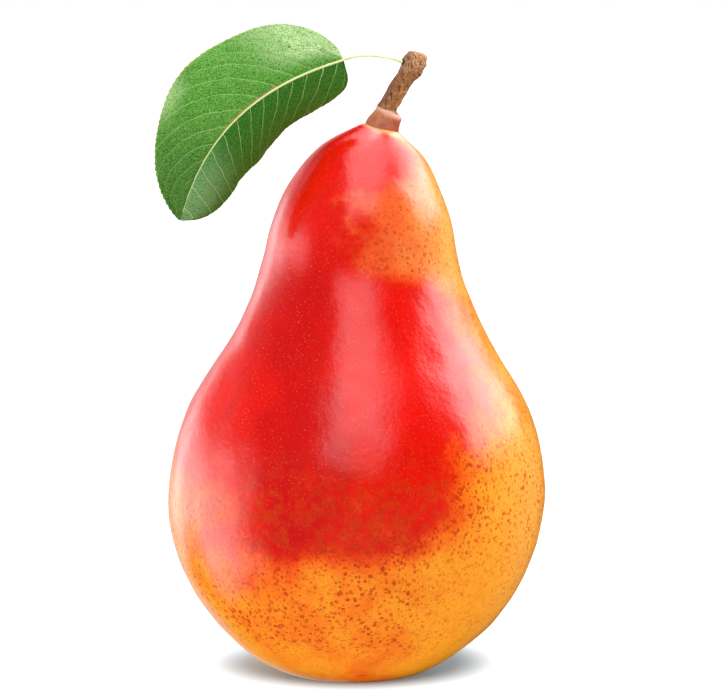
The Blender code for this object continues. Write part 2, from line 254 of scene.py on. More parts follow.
class Level:
    """A number that varies over a surface: a node's output, reckoned with like any other number."""

    def __init__(self, graph: "Graph", socket: bpy.types.NodeSocket) -> None:
        """Note the node tree and the output."""
        self.graph = graph
        self.socket = socket

    def __add__(self, other: "Number") -> "Level":
        """The sum of this and another."""
        return self.graph.math("ADD", self, other)

    def __sub__(self, other: "Number") -> "Level":
        """This less another."""
        return self.graph.math("SUBTRACT", self, other)

    def __rsub__(self, other: float) -> "Level":
        """A plain number less this."""
        return self.graph.math("SUBTRACT", other, self)

    def __mul__(self, other: "Number") -> "Level":
        """This times another."""
        return self.graph.math("MULTIPLY", self, other)

    def __truediv__(self, other: "Number") -> "Level":
        """This shared out by another."""
        return self.graph.math("DIVIDE", self, other)

    def __pow__(self, power: float) -> "Level":
        """This to a power."""
        return self.graph.math("POWER", self, power)

    def __abs__(self) -> "Level":
        """This without its sign."""
        return self.graph.math("ABSOLUTE", self)

    def smooth(self, low: float, high: float) -> "Level":
        """Rise softly from 0 where this is low to 1 where it is high.

        Args:
            low: Where the rise starts.
            high: Where it ends; it may lie below low.

        Returns:
            The eased level.
        """
        node = self.graph.node("MapRange", Value=self, From_Min=low, From_Max=high)
        node.interpolation_type = "SMOOTHSTEP"
        return Level(self.graph, node.outputs["Result"])


Number = Level | float
Tint = bpy.types.NodeSocket | Colour


class Graph:
    """A node tree, with short calls for the nodes that the finishes and the light are made of."""

    def __init__(self, name: str, world: bpy.types.World | None = None) -> None:
        """Start a material with one Principled shader, or take up a world.

        Args:
            name: The material's name.
            world: The world to take up, or None for a new material.
        """
        self.material = world or bpy.data.materials.new(name)
        self.material.use_nodes = True
        self.nodes = self.material.node_tree.nodes
        self.links = self.material.node_tree.links

    def set(self, socket: bpy.types.NodeSocket, value: object) -> None:
        """Link a socket to a level or another socket, or give it a plain value.

        Args:
            socket: The input.
            value: What it gets: a level, an output, a colour, a vector or a number.
        """
        source = value.socket if isinstance(value, Level) else value
        if isinstance(source, bpy.types.NodeSocket):
            self.links.new(source, socket)
        elif isinstance(source, tuple) and socket.type == "RGBA":
            socket.default_value = (*source, 1.0)
        else:
            socket.default_value = source

    def fill(self, node: bpy.types.ShaderNode, **values: object) -> None:
        """Set a node's inputs, each named with underscores for spaces."""
        for name, value in values.items():
            self.set(node.inputs[name.replace("_", " ")], value)

    def node(self, kind: str, **values: object) -> bpy.types.ShaderNode:
        """A new node of a kind, with its inputs set.

        Args:
            kind: The node's type, without its prefix.
            values: Its inputs, with underscores for spaces.

        Returns:
            The node.
        """
        node = self.nodes.new("ShaderNode" + kind)
        self.fill(node, **values)
        return node

    def shade(self, **values: object) -> None:
        """Set the material's shader."""
        self.fill(self.nodes["Principled BSDF"], **values)

    def object_point(self, offset: Vector = Vector((0, 0, 0)),
                     scale: Vector = Vector((1, 1, 1))) -> bpy.types.NodeSocket:
        """Object coordinates, moved by minus the offset and scaled.

        Args:
            offset: What is taken off.
            scale: What it is then multiplied by.

        Returns:
            The point's output.
        """
        place = self.node("TexCoord").outputs["Object"]
        moved = [-a * b for a, b in zip(offset, scale)]
        return self.node("Mapping", Vector=place, Location=moved, Scale=scale).outputs["Vector"]

    def split(self, vector: bpy.types.NodeSocket) -> list[Level]:
        """The X, Y and Z of a vector."""
        return [Level(self, output) for output in self.node("SeparateXYZ", Vector=vector).outputs]

    def math(self, operation: str, *values: Number) -> Level:
        """A Math node's result.

        Args:
            operation: Blender's name for it.
            values: What it works on.

        Returns:
            The result as a level.
        """
        node = self.node("Math")
        node.operation = operation
        for socket, value in zip(node.inputs, values):
            self.set(socket, value)
        return Level(self, node.outputs[0])

    def number(self, value: float) -> Level:
        """A plain number as a level."""
        return self.math("ADD", value, 0.0)

    def hypot(self, *sides: Level) -> Level:
        """The length whose square is the sum of its sides' squares.

        Args:
            sides: The sides.

        Returns:
            The length as a level.
        """
        total = self.number(0.0)
        for side in sides:
            total = total + side * side
        return self.math("SQRT", total)

    def mix(self, share: Number, first: Tint, second: Tint) -> bpy.types.NodeSocket:
        """Blend two colours.

        Args:
            share: Share of the second, 0 to 1.
            first: The colour at 0.
            second: The colour at 1.

        Returns:
            The blend's output.
        """
        node = self.node("Mix", Factor=share)
        node.data_type = "RGBA"
        self.set(node.inputs[6], first)
        self.set(node.inputs[7], second)
        return node.outputs[2]

    def coats(self, base: Tint, *coats: tuple[Number, Tint]) -> Tint:
        """Lay coats over a colour, each of them a share and a colour.

        Args:
            base: The colour below.
            coats: The coats, the lowest first.

        Returns:
            The colour on top.
        """
        for share, tint in coats:
            base = self.mix(share, base, tint)
        return base

    def noise(self, point: bpy.types.NodeSocket, scale: float, detail: float = 2.0,
              roughness: float = 0.5) -> Level:
        """Soft noise between 0 and 1."""
        node = self.node("TexNoise", Vector=point, Scale=scale, Detail=detail, Roughness=roughness)
        return Level(self, node.outputs[0])

    def cells(self, point: bpy.types.NodeSocket, scale: float) -> tuple[Level, Level]:
        """Scattered cells: the way to the nearest one's middle, and a chance that it was dealt."""
        node = self.node("TexVoronoi", Vector=point, Scale=scale)
        return Level(self, node.outputs["Distance"]), self.split(node.outputs["Color"])[0]

    def net(self, point: bpy.types.NodeSocket, scale: float) -> Level:
        """The way to the nearest edge between scattered cells.

        Args:
            point: Where the cells lie.
            scale: How close together they are.

        Returns:
            The distance as a level.
        """
        node = self.node("TexVoronoi", Vector=point, Scale=scale)
        node.feature = "DISTANCE_TO_EDGE"
        return Level(self, node.outputs["Distance"])

    def curve(self, value: Level, stops: list[tuple[float, float]]) -> Level:
        """A value read off a soft curve through stops, whose places run from 0 to 1.

        Args:
            value: Where the curve is read.
            stops: Places and the values there.

        Returns:
            The value as a level.
        """
        node = self.node("ValToRGB")
        node.color_ramp.interpolation = "EASE"
        elements = node.color_ramp.elements
        while len(elements) < len(stops):
            elements.new(0.5)
        for element, (place, level) in zip(elements, stops):
            element.position = place
            element.color = (level, level, level, 1.0)
        self.set(node.inputs[0], value)
        return Level(self, node.outputs[0])

    def bump(self, height: Level, strength: float, depth: float) -> bpy.types.NodeSocket:
        """A normal bent by a height."""
        return self.node("Bump", Strength=strength, Distance=depth, Height=height).outputs[0]


class Workbench:
    """Calls that start, shape and finish a mesh as by hand."""

    @staticmethod
    def clear_selection() -> None:
        """Deselect everything."""
        bpy.ops.object.select_all(action="DESELECT")

    @staticmethod
    def hold(piece: bpy.types.Object) -> None:
        """Make one piece the only selected and the active one.

        Args:
            piece: The piece.
        """
        Workbench.clear_selection()
        piece.select_set(True)
        bpy.context.view_layer.objects.active = piece

    @staticmethod
    def name(piece: bpy.types.Object, name: str) -> bpy.types.Object:
        """Name a piece and its mesh.

        Args:
            piece: The piece.
            name: Its name.

        Returns:
            The same piece.
        """
        piece.name = name
        piece.data.name = name
        return piece

    @staticmethod
    def sleeve(name: str, sides: int, rings: int) -> bpy.types.Object:
        """An open tube of unit radius, extruded ring by ring from a circle.

        Args:
            name: The piece's name.
            sides: Points round each ring.
            rings: Number of rings.

        Returns:
            The tube, whose ring i lies at height i.
        """
        Workbench.clear_selection()
        bpy.ops.mesh.primitive_circle_add(vertices=sides, radius=1.0, fill_type="NOTHING")
        piece = Workbench.name(bpy.context.object, name)
        bpy.ops.object.mode_set(mode="EDIT")
        bpy.ops.mesh.select_all(action="SELECT")
        for _ in range(rings - 1):
            bpy.ops.mesh.extrude_region_move(TRANSFORM_OT_translate={"value": (0.0, 0.0, 1.0)})
        bpy.ops.object.mode_set(mode="OBJECT")
        return piece

    @staticmethod
    def close_ends(piece: bpy.types.Object) -> None:
        """Fill a tube's two open ends and point its faces outwards.

        Args:
            piece: The tube.
        """
        Workbench.hold(piece)
        bpy.ops.object.mode_set(mode="EDIT")
        bpy.ops.mesh.select_mode(type="EDGE")
        bpy.ops.mesh.select_all(action="DESELECT")
        bpy.ops.mesh.select_non_manifold()
        bpy.ops.mesh.fill_holes(sides=0)
        bpy.ops.mesh.select_all(action="SELECT")
        bpy.ops.mesh.normals_make_consistent(inside=False)
        bpy.ops.object.mode_set(mode="OBJECT")

    @staticmethod
    def spun(name: str, outline: list[Vector], steps: int) -> bpy.types.Object:
        """A body spun about Z from an outline of radius and height.

        Args:
            name: The body's name.
            outline: Radius and height of each ring.
            steps: Points round each ring.

        Returns:
            The body.
        """
        Workbench.clear_selection()
        bpy.ops.mesh.primitive_circle_add(vertices=len(outline), radius=1.0, fill_type="NOTHING")
        piece = Workbench.name(bpy.context.object, name)
        for vertex, place in zip(piece.data.vertices, outline):
            vertex.co = (place.x, 0.0, place.y)
        bpy.ops.object.mode_set(mode="EDIT")
        shape = bmesh.from_edit_mesh(piece.data)
        shape.verts.ensure_lookup_table()
        closing = shape.edges.get((shape.verts[0], shape.verts[-1]))
        shape.edges.remove(closing)
        bmesh.update_edit_mesh(piece.data)
        bpy.ops.mesh.select_all(action="SELECT")
        bpy.ops.mesh.spin(steps=steps, angle=2 * math.pi, center=(0.0, 0.0, 0.0), axis=(0.0, 0.0, 1.0))
        bpy.ops.mesh.select_all(action="SELECT")
        bpy.ops.mesh.remove_doubles(threshold=0.002 * MM)
        bpy.ops.mesh.normals_make_consistent(inside=False)
        bpy.ops.object.mode_set(mode="OBJECT")
        return piece

    @staticmethod
    def sheet(name: str, columns: int, rows: int) -> bpy.types.Object:
        """A flat grid from -1 to 1 both ways, with its UV map.

        Args:
            name: The sheet's name.
            columns: Faces along X.
            rows: Faces along Y.

        Returns:
            The sheet.
        """
        Workbench.clear_selection()
        bpy.ops.mesh.primitive_grid_add(x_subdivisions=columns, y_subdivisions=rows, size=2.0)
        return Workbench.name(bpy.context.object, name)

    @staticmethod
    def apply(piece: bpy.types.Object) -> None:
        """Apply all of a piece's modifiers.

        Args:
            piece: The piece.
        """
        Workbench.hold(piece)
        for modifier in list(piece.modifiers):
            bpy.ops.object.modifier_apply(modifier=modifier.name)

    @staticmethod
    def subdivide(piece: bpy.types.Object, levels: int) -> None:
        """Smooth a piece with an applied Subdivision Surface.

        Args:
            piece: The piece.
            levels: How often each face is cut in four.
        """
        modifier = piece.modifiers.new("smooth", "SUBSURF")
        modifier.levels = levels
        modifier.render_levels = levels
        Workbench.apply(piece)

    @staticmethod
    def thicken(piece: bpy.types.Object, thickness: float, back_material: int = 0) -> None:
        """Give a sheet a thickness, half to each side.

        Args:
            piece: The sheet.
            thickness: Its thickness in metres.
            back_material: Which of its materials the back gets.
        """
        while len(piece.data.materials) <= back_material:
            piece.data.materials.append(None)
        modifier = piece.modifiers.new("thicken", "SOLIDIFY")
        modifier.thickness = thickness
        modifier.offset = 0.0
        modifier.material_offset = back_material
        Workbench.apply(piece)

    @staticmethod
    def finish(piece: bpy.types.Object, degrees: float = 45.0) -> None:
        """Shade a piece smooth up to an angle."""
        Workbench.hold(piece)
        bpy.ops.object.shade_smooth_by_angle(angle=math.radians(degrees))

    @staticmethod
    def fuse(pieces: list[bpy.types.Object], name: str) -> bpy.types.Object:
        """Join pieces into one object.

        Args:
            pieces: The pieces, whose first one stays.
            name: The object's name.

        Returns:
            The object.
        """
        Workbench.clear_selection()
        for piece in pieces:
            piece.select_set(True)
        bpy.context.view_layer.objects.active = pieces[0]
        bpy.ops.object.join()
        return Workbench.name(bpy.context.object, name)


def dress(piece: bpy.types.Object, node: str, slot: str, *materials: bpy.types.Material) -> None:
    """Give a finished piece its materials and its place in the frame.

    Args:
        piece: The piece.
        node: The solid that it stands for.
        slot: The record's material slot; not used.
        materials: Its materials, in the order of their indices.
    """
    while len(piece.data.materials) < len(materials):
        piece.data.materials.append(None)
    for index, material in enumerate(materials):
        piece.data.materials[index] = material
    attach(piece, "root")
    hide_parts(node)
    LOG.info("%s: %d faces, for %s", piece.name, len(piece.data.polygons), node)


@dataclass
class Stem:
    """The stem: a fleshy foot with a shoulder, a barky shaft and a gnarled knob."""

    axis_x: float
    # Way right of the fruit's axis, height and radius of each section, in millimetres.
    sections: list[tuple[float, float, float]] = field(default_factory=lambda: [
        (4.50, 101.2, 3.10), (4.72, 104.0, 3.25), (4.95, 105.8, 3.32), (5.25, 106.9, 3.08),
        (5.42, 107.6, 2.60), (5.52, 108.2, 2.12), (6.24, 109.4, 1.82), (7.78, 112.2, 1.82),
        (8.75, 113.7, 1.76), (9.50, 114.8, 1.74), (10.30, 115.85, 2.05), (10.95, 117.1, 2.28),
        (11.3, 118.3, 2.16), (11.45, 119.15, 1.55), (11.5, 119.42, 0.70)])
    sides: int = 64
    rings: int = 150
    shoulder_height: float = 106.6 * MM
    shoulder_reach: float = 0.9 * MM
    shoulder: float = 0.20 * MM
    shaft_height: float = 108.6 * MM
    shaft_slope: float = 0.6
    knob_height: float = 117.4 * MM
    knob_reach: float = 2.3 * MM
    scar: Vector = field(default_factory=lambda: Vector((8.75, -1.20, 117.55)) * MM)
    scar_radius: float = 0.75 * MM
    upright_below: float = 107.6 * MM
    leaning_above: float = 109.4 * MM
    bark_fade: float = 0.8 * MM
    fibre_height: float = 0.10 * MM
    crust_height: float = 0.07 * MM
    ridge_height: float = 0.05 * MM
    foot_lump: float = 0.05 * MM
    knob_lump: float = 0.34 * MM
    knob_crust: float = 0.14 * MM
    crease_depth: float = 0.16 * MM
    crease_reach: float = 0.35 * MM
    scar_rim: float = 0.34 * MM
    scar_pit: float = 0.28 * MM

    def middle(self, s: float) -> tuple[Vector, float]:
        """Middle and radius of the section at s, 0 at the root and 1 at the top."""
        flat = through([Vector(section) * MM for section in self.sections], s)
        return Vector((flat.x, 0.0, flat.y)), flat.z

    def relief(self, place: Vector, outward: Vector, turn: float) -> float:
        """How far the bark stands proud at a place.

        Args:
            place: The smooth stem's point, from the fruit's axis.
            outward: Its direction from the section's middle.
            turn: The same as an angle about the section.

        Returns:
            The height in metres, below zero in cracks.
        """
        knob = bell(place.z - self.knob_height, self.knob_reach)
        bark = smoothstep(place.z, self.shaft_height - self.bark_fade, self.shaft_height + self.bark_fade)
        fibres = noise.noise(Vector((math.cos(turn) * 3.2, math.sin(turn) * 3.2, place.z * 260)))
        crust = noise.noise(place * 1150 + Vector((3, 1, 7)))
        lumps = noise.noise(place * 520 + Vector((9, 4, 2)))
        rings = noise.noise(Vector((turn * 0.35, 5.0, place.z * 900)))
        height = bark * (self.fibre_height * fibres + self.crust_height * crust + self.ridge_height * rings)
        height += knob * (self.knob_lump * lumps + self.knob_crust * crust)
        height += (1 - bark) * self.foot_lump * lumps
        right = max(outward.x, 0.0) * bell(place.z - self.shoulder_height, self.shoulder_reach)
        height += self.shoulder * right * right
        height -= self.crease_depth * bell(place.z - self.shaft_height, self.crease_reach)
        away = (place - self.scar).length / self.scar_radius
        height += self.scar_rim * bell(away - 0.95, 0.30) - self.scar_pit * bell(away, math.sqrt(0.35))
        return height

    def model(self) -> bpy.types.Object:
        """Extrude the stem and shape its bark.

        Returns:
            The bare stem.
        """
        piece = Workbench.sleeve("stem_bark", self.sides, self.rings)
        step = 1.0 / (self.rings - 1)
        for vertex in piece.data.vertices:
            s = vertex.co.z * step
            turn = math.atan2(vertex.co.y, vertex.co.x)
            middle, radius = self.middle(s)
            ahead, _ = self.middle(min(s + 0.01, 1.0))
            behind, _ = self.middle(max(s - 0.01, 0.0))
            heading = (ahead - behind).normalized()
            leaning = smoothstep(middle.z, self.upright_below, self.leaning_above)
            across = Vector((heading.z, 0.0, -heading.x * leaning)).normalized()
            outward = across * math.cos(turn) + Vector((0.0, 1.0, 0.0)) * math.sin(turn)
            place = middle + outward * radius
            vertex.co = place + outward * self.relief(place, outward, turn) + Vector((self.axis_x, 0.0, 0.0))
        Workbench.close_ends(piece)
        Workbench.subdivide(piece, 1)
        Workbench.finish(piece, 60)
        return piece

    def finish(self, colours: BarkFinish) -> bpy.types.Material:
        """Bark over a fleshy foot: fibres, flecks and a dark scar where the leaf's stalk leaves, with painted
        shade down the left side and a painted highlight at the top of the foot.

        Args:
            colours: The bark's colours.

        Returns:
            The material.
        """
        graph = Graph("stem_bark")
        point = graph.object_point()
        x, y, z = graph.split(point)
        fibres = graph.noise(graph.object_point(scale=Vector((1.0, 1.0, 0.25))), 1900.0, 4.0, 0.62)
        patches = graph.noise(point, 800.0, 3.0, 0.6)
        blots = graph.noise(graph.object_point(Vector((0.01, 0.0, 0.0))), 1150.0, 2.0, 0.6)
        crust = graph.noise(point, 2300.0, 3.0, 0.65)
        middle, _ = self.middle(0.55)
        shaft = self.axis_x + middle.x - middle.z * self.shaft_slope
        # Painted shade: the left side of the shaft, the knob and the foot is darkened, in plum on the bark
        # and in bark brown on the foot.
        shade = (x - z * self.shaft_slope).smooth(shaft - 0.2 * MM, shaft - 2.0 * MM)
        high = z.smooth(*colours.knob_levels)
        knob = graph.coats(
            colours.bark,
            (crust.smooth(0.38, 0.56), colours.tan),
            (fibres.smooth(0.46, 0.34), colours.bark_dark))
        bark = graph.coats(
            colours.bark_dark,
            (fibres.smooth(0.38, 0.54), colours.bark),
            (patches.smooth(0.50, 0.68) * 0.7, colours.olive),
            (blots.smooth(0.50, 0.66) * 0.8, colours.orange),
            (crust.smooth(0.58, 0.72) * 0.7, colours.tan),
            (shade * 0.8, colours.shade_plum),
            (high * 0.80, knob),
            (shade * high * 0.55, colours.shade_plum))
        rise = z + graph.noise(point, 420.0) * colours.border_raggedness + x * 0.42
        lobe = x.smooth(*colours.lobe_sides) * z.smooth(*colours.lobe_levels)
        flesh = graph.coats(
            colours.flesh,
            (patches.smooth(0.25, 0.85), colours.flesh_red),
            (lobe * 0.90, colours.flesh_red),
            (shade * 0.5, colours.bark),
            # Painted highlight: a pale band round the top of the fleshy foot, just under the bark.
            (rise.smooth(*colours.highlight_levels) * 0.75, colours.flesh_highlight))
        pit = self.scar + Vector((self.axis_x, 0.0, 0.0))
        near_scar = graph.hypot(x - pit.x, y - pit.y, z - pit.z).smooth(self.scar_radius, colours.scar_core)
        colour = graph.coats(flesh, (rise.smooth(*colours.bark_levels), bark), (near_scar, colours.scar))
        graph.shade(Base_Color=colour, Roughness=0.62, Specular_IOR_Level=0.20,
                    Normal=graph.bump(fibres + crust, 0.5, 0.12 * MM))
        return graph.material

    def build(self) -> bpy.types.Object:
        """Model and dress the stem.

        Returns:
            The stem.
        """
        piece = self.model()
        dress(piece, "stem", "stem_bark", self.finish(BarkFinish()))
        return piece


@dataclass(frozen=True)
class Swelling:
    """A soft rise of the skin, or a dent where its height is below zero."""

    azimuth: float
    level: float
    reach_round: float
    reach_up: float
    rise: float

    def at(self, azimuth: float, level: float) -> float:
        """Its height at an azimuth in degrees and a level in metres."""
        aside = (azimuth - self.azimuth + 180) % 360 - 180
        return self.rise * bell(aside, self.reach_round) * bell(level - self.level, self.reach_up)


class SkinPaint:
    """The fruit's skin as it is painted: the places on it, its noises and its coats of colour."""

    def __init__(self, axis_x: float, crown_height: float, root_x: float, colours: SkinFinish) -> None:
        """Lay out the places and the noises.

        Args:
            axis_x: Where the fruit's axis stands.
            crown_height: Height of the fruit's crown.
            root_x: Where the stem's root stands, from the axis.
            colours: The skin's finish.
        """
        self.graph = Graph("fruit_skin")
        self.colours = colours
        self.point = self.graph.object_point(Vector((axis_x, 0.0, 0.0)))
        self.x, self.y, self.z = self.graph.split(self.point)
        self.height = self.z / crown_height
        self.girth = self.graph.hypot(self.x, self.y)
        self.root_x = root_x
        self.cloud = self.mist(colours.cloud)
        self.patches = self.mist(colours.patches)
        self.streaks = self.mist(colours.streaks)
        self.grain = self.mist(colours.grain)

    def mist(self, mist: Mist) -> Level:
        """The noise of a mist, drawn out upright where it says so.

        Args:
            mist: Which one.

        Returns:
            Its noise, 0 to 1.
        """
        point = self.point
        if mist.upright != 1.0:
            point = self.graph.object_point(scale=Vector((1.0, 1.0, mist.upright)))
        return self.graph.noise(point, mist.scale, mist.detail, mist.roughness)

    def facing(self) -> Level:
        """How far the skin faces the sun: 1 in the blush's middle, 0 at right angles and -1 behind.

        Returns:
            The cosine of the angle to the sun.
        """
        foot = math.radians(self.colours.blush_azimuth_foot)
        turned = math.radians(self.colours.blush_azimuth_top) - foot
        centre = self.height * turned + foot
        toward = self.x * self.graph.math("SINE", centre) - self.y * self.graph.math("COSINE", centre)
        return toward / self.graph.math("MAXIMUM", self.girth, 0.5 * MM)

    def blush(self, facing: Level) -> Level:
        """How deep in the blush a place lies, 0 at its edge, with the edge broken up by the noises.

        Args:
            facing: How far the skin faces the sun.

        Returns:
            The depth as a level.
        """
        colours = self.colours
        low, high = colours.edge_range
        stops = [(place, (level - low) / (high - low)) for place, level in colours.blush_edge]
        blush = facing - (self.graph.curve(self.height, stops) * (high - low) + low)
        noises = (self.cloud, self.patches, self.streaks, self.grain)
        for level, mist in zip(noises, (colours.cloud, colours.patches, colours.streaks, colours.grain)):
            blush = blush + (level - 0.5) * mist.push
        front = self.y.smooth(*colours.front_sides)
        for corner in colours.blush_corners:
            away = self.graph.hypot(self.x - corner.x, self.z - corner.z)
            blush = blush + away.smooth(corner.reach, 0.0) * front * corner.gain
        return blush

    def orange_patch(self) -> Level:
        """The patch on the neck's right where the red thins to orange, 0 to 1.

        Returns:
            The patch's share.
        """
        start, full, fading, end = self.colours.patch_levels
        drift = self.x + (self.patches - 0.5) * self.colours.patch_drift
        right = drift.smooth(*self.colours.patch_sides)
        return self.height.smooth(start, full) * self.height.smooth(end, fading) * right

    def depth(self, red: Level) -> Level:
        """How far the red deepens, in streaks and in a band down the front.

        Args:
            red: How red the skin is, 0 to 1.

        Returns:
            The depth, 0 to 1.
        """
        streaked = (self.streaks * 0.6 + self.patches * 0.4).smooth(0.34, 0.66) * 0.45
        aside = abs(self.x + self.cloud * self.colours.band_drift)
        band = aside.smooth(*self.colours.band_sides) * self.height.smooth(*self.colours.band_levels) * 0.75
        return self.graph.math("MINIMUM", red.smooth(0.66, 1.0) * (streaked + band), 1.0)

    def ground(self, facing: Level, red: Level, patch: Level) -> Tint:
        """Gold and yellow under ember, red and deep red, rusty and grained where the blush ends.

        Args:
            facing: How far the skin faces the sun.
            red: How red it is, 0 to 1.
            patch: Share of the neck's orange patch.

        Returns:
            The skin's colour without its dots.
        """
        graph, colours = self.graph, self.colours
        sunless = facing.smooth(0.60, 0.00) * self.x.smooth(*colours.sunless_sides) * colours.sunless_share
        sunless = graph.math("MAXIMUM", self.height.smooth(*colours.neck_levels), sunless)
        mottling = graph.noise(self.point, 420.0, 4.0, 0.7).smooth(0.42, 0.62)
        mottled = red.smooth(0.45, 0.80) * self.height.smooth(0.48, 0.34) * mottling
        bare = red.smooth(0.80, 0.40) * 0.32 + 0.04
        darker = graph.mix(red.smooth(0.35, 0.75), colours.rust_dot, colours.deep_red)
        return graph.coats(
            colours.gold,
            (sunless, colours.yellow),
            (red.smooth(0.04, 0.60), graph.mix(patch * 0.20, colours.ember, colours.peach)),
            (red.smooth(0.46, 0.82), colours.red),
            (self.depth(red), colours.deep_red),
            (mottled * 0.55, colours.rusty),
            (self.grain.smooth(0.50, 0.66) * bare, colours.ember),
            (self.grain.smooth(0.47, 0.32) * 0.38, darker))

    def dotted(self, colour: Tint, red: Level) -> Tint:
        """Scatter the breathing dots: brown on gold, fewer at the lower right, and pale specks on red.

        Args:
            colour: The skin without dots.
            red: How red it is, 0 to 1.

        Returns:
            The skin with them.
        """
        graph, colours = self.graph, self.colours
        warp = (graph.noise(self.point, 1700.0) - 0.5) * 0.42
        crowd = graph.noise(self.point, 95.0).smooth(0.30, 0.62)
        sparse = self.x.smooth(*colours.sparse_sides) * self.height.smooth(*colours.sparse_levels)
        share = (self.height.smooth(0.62, 0.38) * 0.40 + 0.60) * self.height.smooth(0.04, 0.12)
        share = share * (1.0 - sparse * 0.55) * (crowd * 0.4 + 0.6) * red.smooth(1.0, 0.75)
        tone = graph.mix(red.smooth(0.0, 0.5), colours.brown_dot, colours.rust_dot)
        for size in colours.dots:
            away, chance = graph.cells(self.point, size.scale)
            inside = (chance * 0.4 + 0.65) * size.radius - away + warp
            colour = graph.mix(inside.smooth(-0.04, 0.09) * size.strength * share, colour, tone)
        away, _ = graph.cells(self.point, colours.speck_scale)
        speck = (away + warp).smooth(0.20, 0.08) * colours.speck_strength * red.smooth(0.55, 0.90)
        return graph.mix(speck, colour, colours.pale_dot)

    def material(self) -> bpy.types.Material:
        """Paint the skin and give it its wax.

        Returns:
            The skin's material.
        """
        graph, colours = self.graph, self.colours
        facing = self.facing()
        patch = self.orange_patch()
        red = self.blush(facing).smooth(*colours.blush_rise) * (1.0 - patch * colours.patch_fade)
        collar = graph.hypot(self.x - self.root_x, self.y).smooth(*colours.collar_sides)
        russet = self.girth.smooth(*colours.russet_sides) * self.height.smooth(*colours.russet_levels)
        colour = graph.coats(
            self.dotted(self.ground(facing, red, patch), red),
            # Partly painted highlight: the peach ring round the stem's root stands for the crown's rim
            # catching light as well as the skin's own paler colour there.
            (collar * self.height.smooth(0.90, 0.95) * 0.85, colours.peach),
            (russet * graph.noise(self.point, 700.0, 3.0).smooth(0.38, 0.60), colours.russet))
        wax = graph.math("MINIMUM", (self.patches * 0.9 + 0.55) * colours.coat, 1.0)
        pores = graph.noise(self.point, 900.0, 3.0, 0.6) + self.patches * 2.0
        rough = graph.bump(pores, 0.32, colours.pore_depth)
        graph.shade(Base_Color=colour, Roughness=colours.roughness, Specular_IOR_Level=0.0, Normal=rough)
        graph.shade(Coat_Weight=wax, Coat_Roughness=colours.coat_roughness, Coat_IOR=colours.coat_ior,
                    Coat_Normal=rough)
        graph.shade(Subsurface_Weight=0.05, Subsurface_Radius=(1.0, 0.35, 0.12), Subsurface_Scale=1.5 * MM)
        return graph.material


